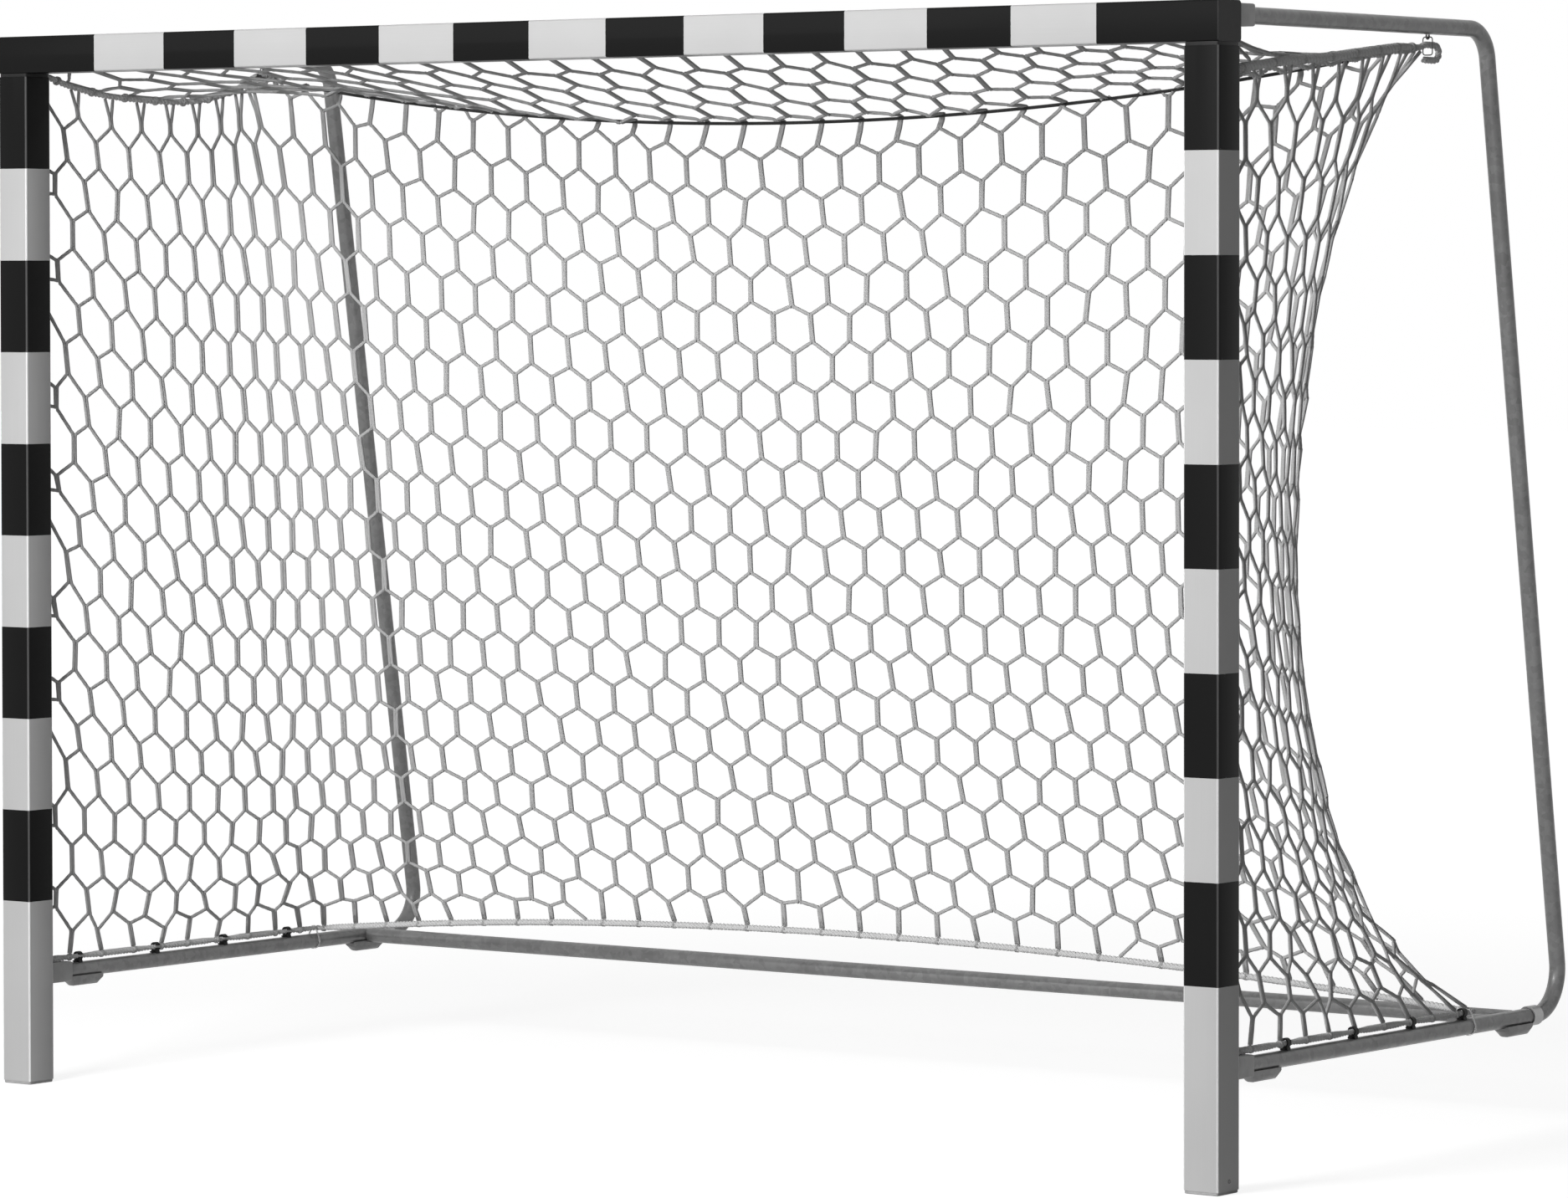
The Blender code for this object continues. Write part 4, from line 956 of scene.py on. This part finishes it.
def make_ropes(rope_surface, cord_surface):
    """The hem ropes and the black cord. Returns the bottom hem's points and their run, for the net."""
    for side, sign in SIDES.items():
        route = [(sign * POST_X, y, z) for y, z in upper_hem_route(side)]
        strands = Strands()
        if side == "right":
            laid_rope(strands, smooth(route, 6), UPPER_ROPE_RADIUS, UPPER_LAY, swell=upper_swell)
            gather = [gathered_edge(sign, side, y) for y in np.arange(HEM_START_Y, KNOT_Y, GATHER_STEP)]
            laid_rope(strands, smooth(gather, 3), GATHER_RADIUS, GATHER_LAY)
        else:
            laid_rope(strands, smooth(route, 6), UPPER_ROPE_RADIUS, UPPER_LAY)
        obj = strands.build(f"hem_rope_{side}", rope_surface)
        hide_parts(f"upper_hem_{side}")
    hem = smooth(bottom_hem_route(), 8)
    strands = Strands()
    laid_rope(strands, hem, ROPE_RADIUS, BOTTOM_LAY, swell=bottom_swell)
    obj = strands.build("hem_rope_bottom", rope_surface)
    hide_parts("bottom_hem")
    strands = Strands()
    path = [cord_point(KNOT_X * (2 * step / CORD_STEPS - 1)) for step in range(CORD_STEPS + 1)]
    strands.add(smooth(path, 3), (CORD_RADIUS, CORD_RADIUS), CORD_SIDES)
    obj = strands.build("black_roof_cord", cord_surface)
    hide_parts("roof_cord")
    loop = knot_loop()
    for side, sign in SIDES.items():
        centre = np.array((sign * KNOT_X, KNOT_Y, KNOT_Z))
        strands = Strands()
        strands.add(centre + loop, (KNOT_CORD_RADIUS, KNOT_CORD_RADIUS), KNOT_SIDES, closed=True)
        obj = strands.build(f"roof_cord_knot_{side}", cord_surface)
        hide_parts(f"cord_knot_{side}")
    return hem, run_along(hem)


def knot_loop():
    """The closed path of an overhand knot, drawn tight."""
    turns = np.linspace(0, 2 * math.pi, KNOT_STEPS + 1)[:-1]
    reach = KNOT_RADIUS + KNOT_SWING * np.cos(3 * turns)
    return np.stack([KNOT_DEPTH * np.sin(3 * turns), reach * np.cos(2 * turns), reach * np.sin(2 * turns)], 1)


# Steel hoops

def hoop_path():
    """The hoop's centre line as (distance, height), with fine bends."""
    low_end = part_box("ground_tube_left")[1].y + HOOP_END_GAP
    corners = [
        Vector((HOOP_TUBE_START, UPPER_ARM_Z)),
        Vector((HOOP_TOP_REACH, UPPER_ARM_Z)),
        Vector((HOOP_BOTTOM_REACH, GROUND_Z)),
        Vector((low_end, GROUND_Z)),
    ]
    bends = (HOOP_TOP_BEND, HOOP_BOTTOM_BEND)
    path = [corners[0]]
    for before, corner, after, radius in zip(corners, corners[1:], corners[2:], bends):
        towards = (corner - before).normalized()
        away = (after - corner).normalized()
        turn = towards.angle(away)
        start = corner - towards * radius * math.tan(turn / 2)
        inward = (away - towards * towards.dot(away)).normalized()
        for step in range(HOOP_BEND_STEPS + 1):
            angle = turn * step / HOOP_BEND_STEPS
            ahead = towards * radius * math.sin(angle)
            path.append(start + ahead + inward * radius * (1 - math.cos(angle)))
    return path + [corners[-1]]


def make_hoops(surface):
    for side, sign in SIDES.items():
        path = [(sign * POST_X, point.x, point.y) for point in hoop_path()]
        strands = Strands()
        strands.add(path, (TUBE_RADIUS, TUBE_RADIUS), HOOP_SIDES, (1, 0, 0))
        obj = strands.build(f"net_hoop_{side}", surface)
        obj.data.set_sharp_from_angle(angle=HOOP_SHARP_ANGLE)
        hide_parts(f"hoop_{side}")


# Camera, light and stage

def make_camera():
    forward = Vector(
        (
            -math.sin(CAMERA_YAW) * math.cos(CAMERA_PITCH),
            math.cos(CAMERA_YAW) * math.cos(CAMERA_PITCH),
            math.sin(CAMERA_PITCH),
        )
    )
    level = Vector((math.cos(CAMERA_YAW), math.sin(CAMERA_YAW), 0))
    raised = level.cross(forward)
    right = level * math.cos(CAMERA_ROLL) + raised * math.sin(CAMERA_ROLL)
    up = raised * math.cos(CAMERA_ROLL) - level * math.sin(CAMERA_ROLL)
    data = bpy.data.cameras.new("camera")
    data.sensor_fit = "HORIZONTAL"
    data.sensor_width = SENSOR_WIDTH
    data.lens = SENSOR_WIDTH * FOCAL_PIXELS / PHOTO_WIDTH
    data.shift_y = -SHIFT_PIXELS / PHOTO_WIDTH
    data.clip_end = 200
    camera = bpy.data.objects.new("camera", data)
    turn = Matrix((right, up, -forward)).transposed().to_4x4()
    camera.matrix_world = Matrix.Translation(CAMERA_PLACE) @ turn
    bpy.context.scene.collection.objects.link(camera)
    bpy.context.scene.camera = camera


def area_light(name, place, target, size, power):
    data = bpy.data.lights.new(name, "AREA")
    data.shape = "RECTANGLE"
    data.size = size[0]
    data.size_y = size[1]
    data.energy = power
    lamp = bpy.data.objects.new(name, data)
    lamp.location = place
    lamp.rotation_euler = (Vector(target) - Vector(place)).to_track_quat("-Z", "Y").to_euler()
    bpy.context.scene.collection.objects.link(lamp)


def make_stage():
    scene = bpy.context.scene
    scene.view_settings.view_transform = "Standard"
    mesh = bpy.data.meshes.new("floor")
    signs = [(-1, -1), (1, -1), (1, 1), (-1, 1)]
    corners = [(FLOOR_REACH * x, FLOOR_REACH * y, FLOOR_Z - FLOOR_GAP) for x, y in signs]
    mesh.from_pydata(corners, [], [(0, 1, 2, 3)])
    floor_surface = bpy.data.materials.new("floor")
    floor_surface.use_nodes = True
    tree = floor_surface.node_tree
    shader = tree.nodes["Principled BSDF"]
    shader.inputs["Base Color"].default_value = (FLOOR_TONE, FLOOR_TONE, FLOOR_TONE, 1)
    shader.inputs["Roughness"].default_value = 1.0
    shader.inputs["Specular IOR Level"].default_value = 0.0
    seen = background_rays(tree)
    place = tree.nodes.new("ShaderNodeTexCoord").outputs["Object"]
    reach = tree.nodes.new("ShaderNodeVectorMath")
    reach.operation = "LENGTH"
    tree.links.new(place, reach.inputs[0])
    level = tree.nodes.new("ShaderNodeMapRange")
    level.inputs["From Min"].default_value = GLOW_REACH[0]
    level.inputs["From Max"].default_value = GLOW_REACH[1]
    level.inputs["To Min"].default_value = GLOW[0]
    level.inputs["To Max"].default_value = GLOW[1]
    tree.links.new(reach.outputs["Value"], level.inputs["Value"])
    glow = tree.nodes.new("ShaderNodeMath")
    glow.operation = "MULTIPLY"
    tree.links.new(level.outputs[0], glow.inputs[1])
    tree.links.new(seen, glow.inputs[0])
    shader.inputs["Emission Color"].default_value = (1, 1, 1, 1)
    tree.links.new(glow.outputs[0], shader.inputs["Emission Strength"])
    floor = bpy.data.objects.new("floor", mesh)
    scene.collection.objects.link(floor)
    mesh.materials.append(floor_surface)

    world = bpy.data.worlds.new("world")
    world.use_nodes = True
    scene.world = world
    tree = world.node_tree
    background = tree.nodes["Background"]
    background.inputs["Color"].default_value = (1, 1, 1, 1)
    level = tree.nodes.new("ShaderNodeMapRange")
    level.inputs["To Min"].default_value = WORLD_LIGHT
    level.inputs["To Max"].default_value = 1.0
    tree.links.new(background_rays(tree), level.inputs["Value"])
    tree.links.new(level.outputs[0], background.inputs["Strength"])

    for lamp in LAMPS:
        area_light(*lamp)


def background_rays(tree):
    """1 for rays from the camera, and for reflected and refracted ones."""
    path = tree.nodes.new("ShaderNodeLightPath")
    total = path.outputs["Is Camera Ray"]
    for name in ("Is Glossy Ray", "Is Transmission Ray"):
        either = tree.nodes.new("ShaderNodeMath")
        either.operation = "MAXIMUM"
        tree.links.new(total, either.inputs[0])
        tree.links.new(path.outputs[name], either.inputs[1])
        total = either.outputs[0]
    return total


def dress_cad(surfaces):
    """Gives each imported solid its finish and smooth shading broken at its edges."""
    choice = {
        "crossbar": "bar",
        "crossbar_cap": "cap",
        "post": "post",
        "post_foot": "foot",
        "foot_rivet": "dark",
        "corner_connector": "cap",
        "corner_bolt": "steel",
        "upper_bracket": "cast",
        "upper_bolt": "steel",
        "upper_nut": "steel",
        "lower_bracket": "cast",
        "groove_bolt": "steel",
        "groove_nut": "steel",
        "ground_tube": "galvanised",
        "hoop_sleeve": "sleeve",
        "skid_pad": "galvanised",
        "rear_tube": "galvanised",
        "net_clip": "clip",
        "corner_eye": "dark",
        "corner_link": "dark",
        "corner_tie": "clear",
    }
    for name, obj in nodes.items():
        if obj.hide_render:
            continue
        kind = max((key for key in choice if name.startswith(key)), key=len, default=None)
        if kind is None:
            continue
        obj.data.materials.clear()
        obj.data.materials.append(surfaces[choice[kind]])
        weld = obj.modifiers.new("weld", "WELD")
        weld.merge_threshold = WELD_GAP
        obj.data.shade_smooth()
        split = obj.modifiers.new("split", "EDGE_SPLIT")
        split.split_angle = EDGE_ANGLE


def main():
    make_camera()
    make_stage()
    surfaces = {
        "bar": striped_surface("striped_crossbar", "X"),
        "post": striped_surface("striped_post", "Z"),
        "cap": plastic_surface("black_cap", 0.012, 0.4),
        "clip": plastic_surface("black_clip", 0.008, 0.45),
        "foot": plastic_surface("grey_foot", 0.4, 0.5),
        "steel": steel_surface("bright_steel", 0.6, 0.25),
        "sleeve": steel_surface("bright_sleeve", 0.35, 0.35),
        "dark": steel_surface("dark_wire", 0.1, 0.35),
        "cast": cast_surface(),
        "galvanised": galvanised_surface(),
        "clear": clear_surface(),
        "net": braid_surface("net_braid", 0.6, 0.72, 0.0024),
        "rope": braid_surface("hem_rope", 0.82, 0.94, 0.003),
        "cord": braid_surface("black_cord", 0.008, 0.014, 0.002),
    }
    make_hoops(surfaces["galvanised"])
    hem = make_ropes(surfaces["rope"], surfaces["cord"])
    make_nets(surfaces["net"], hem)
    dress_cad(surfaces)


main()
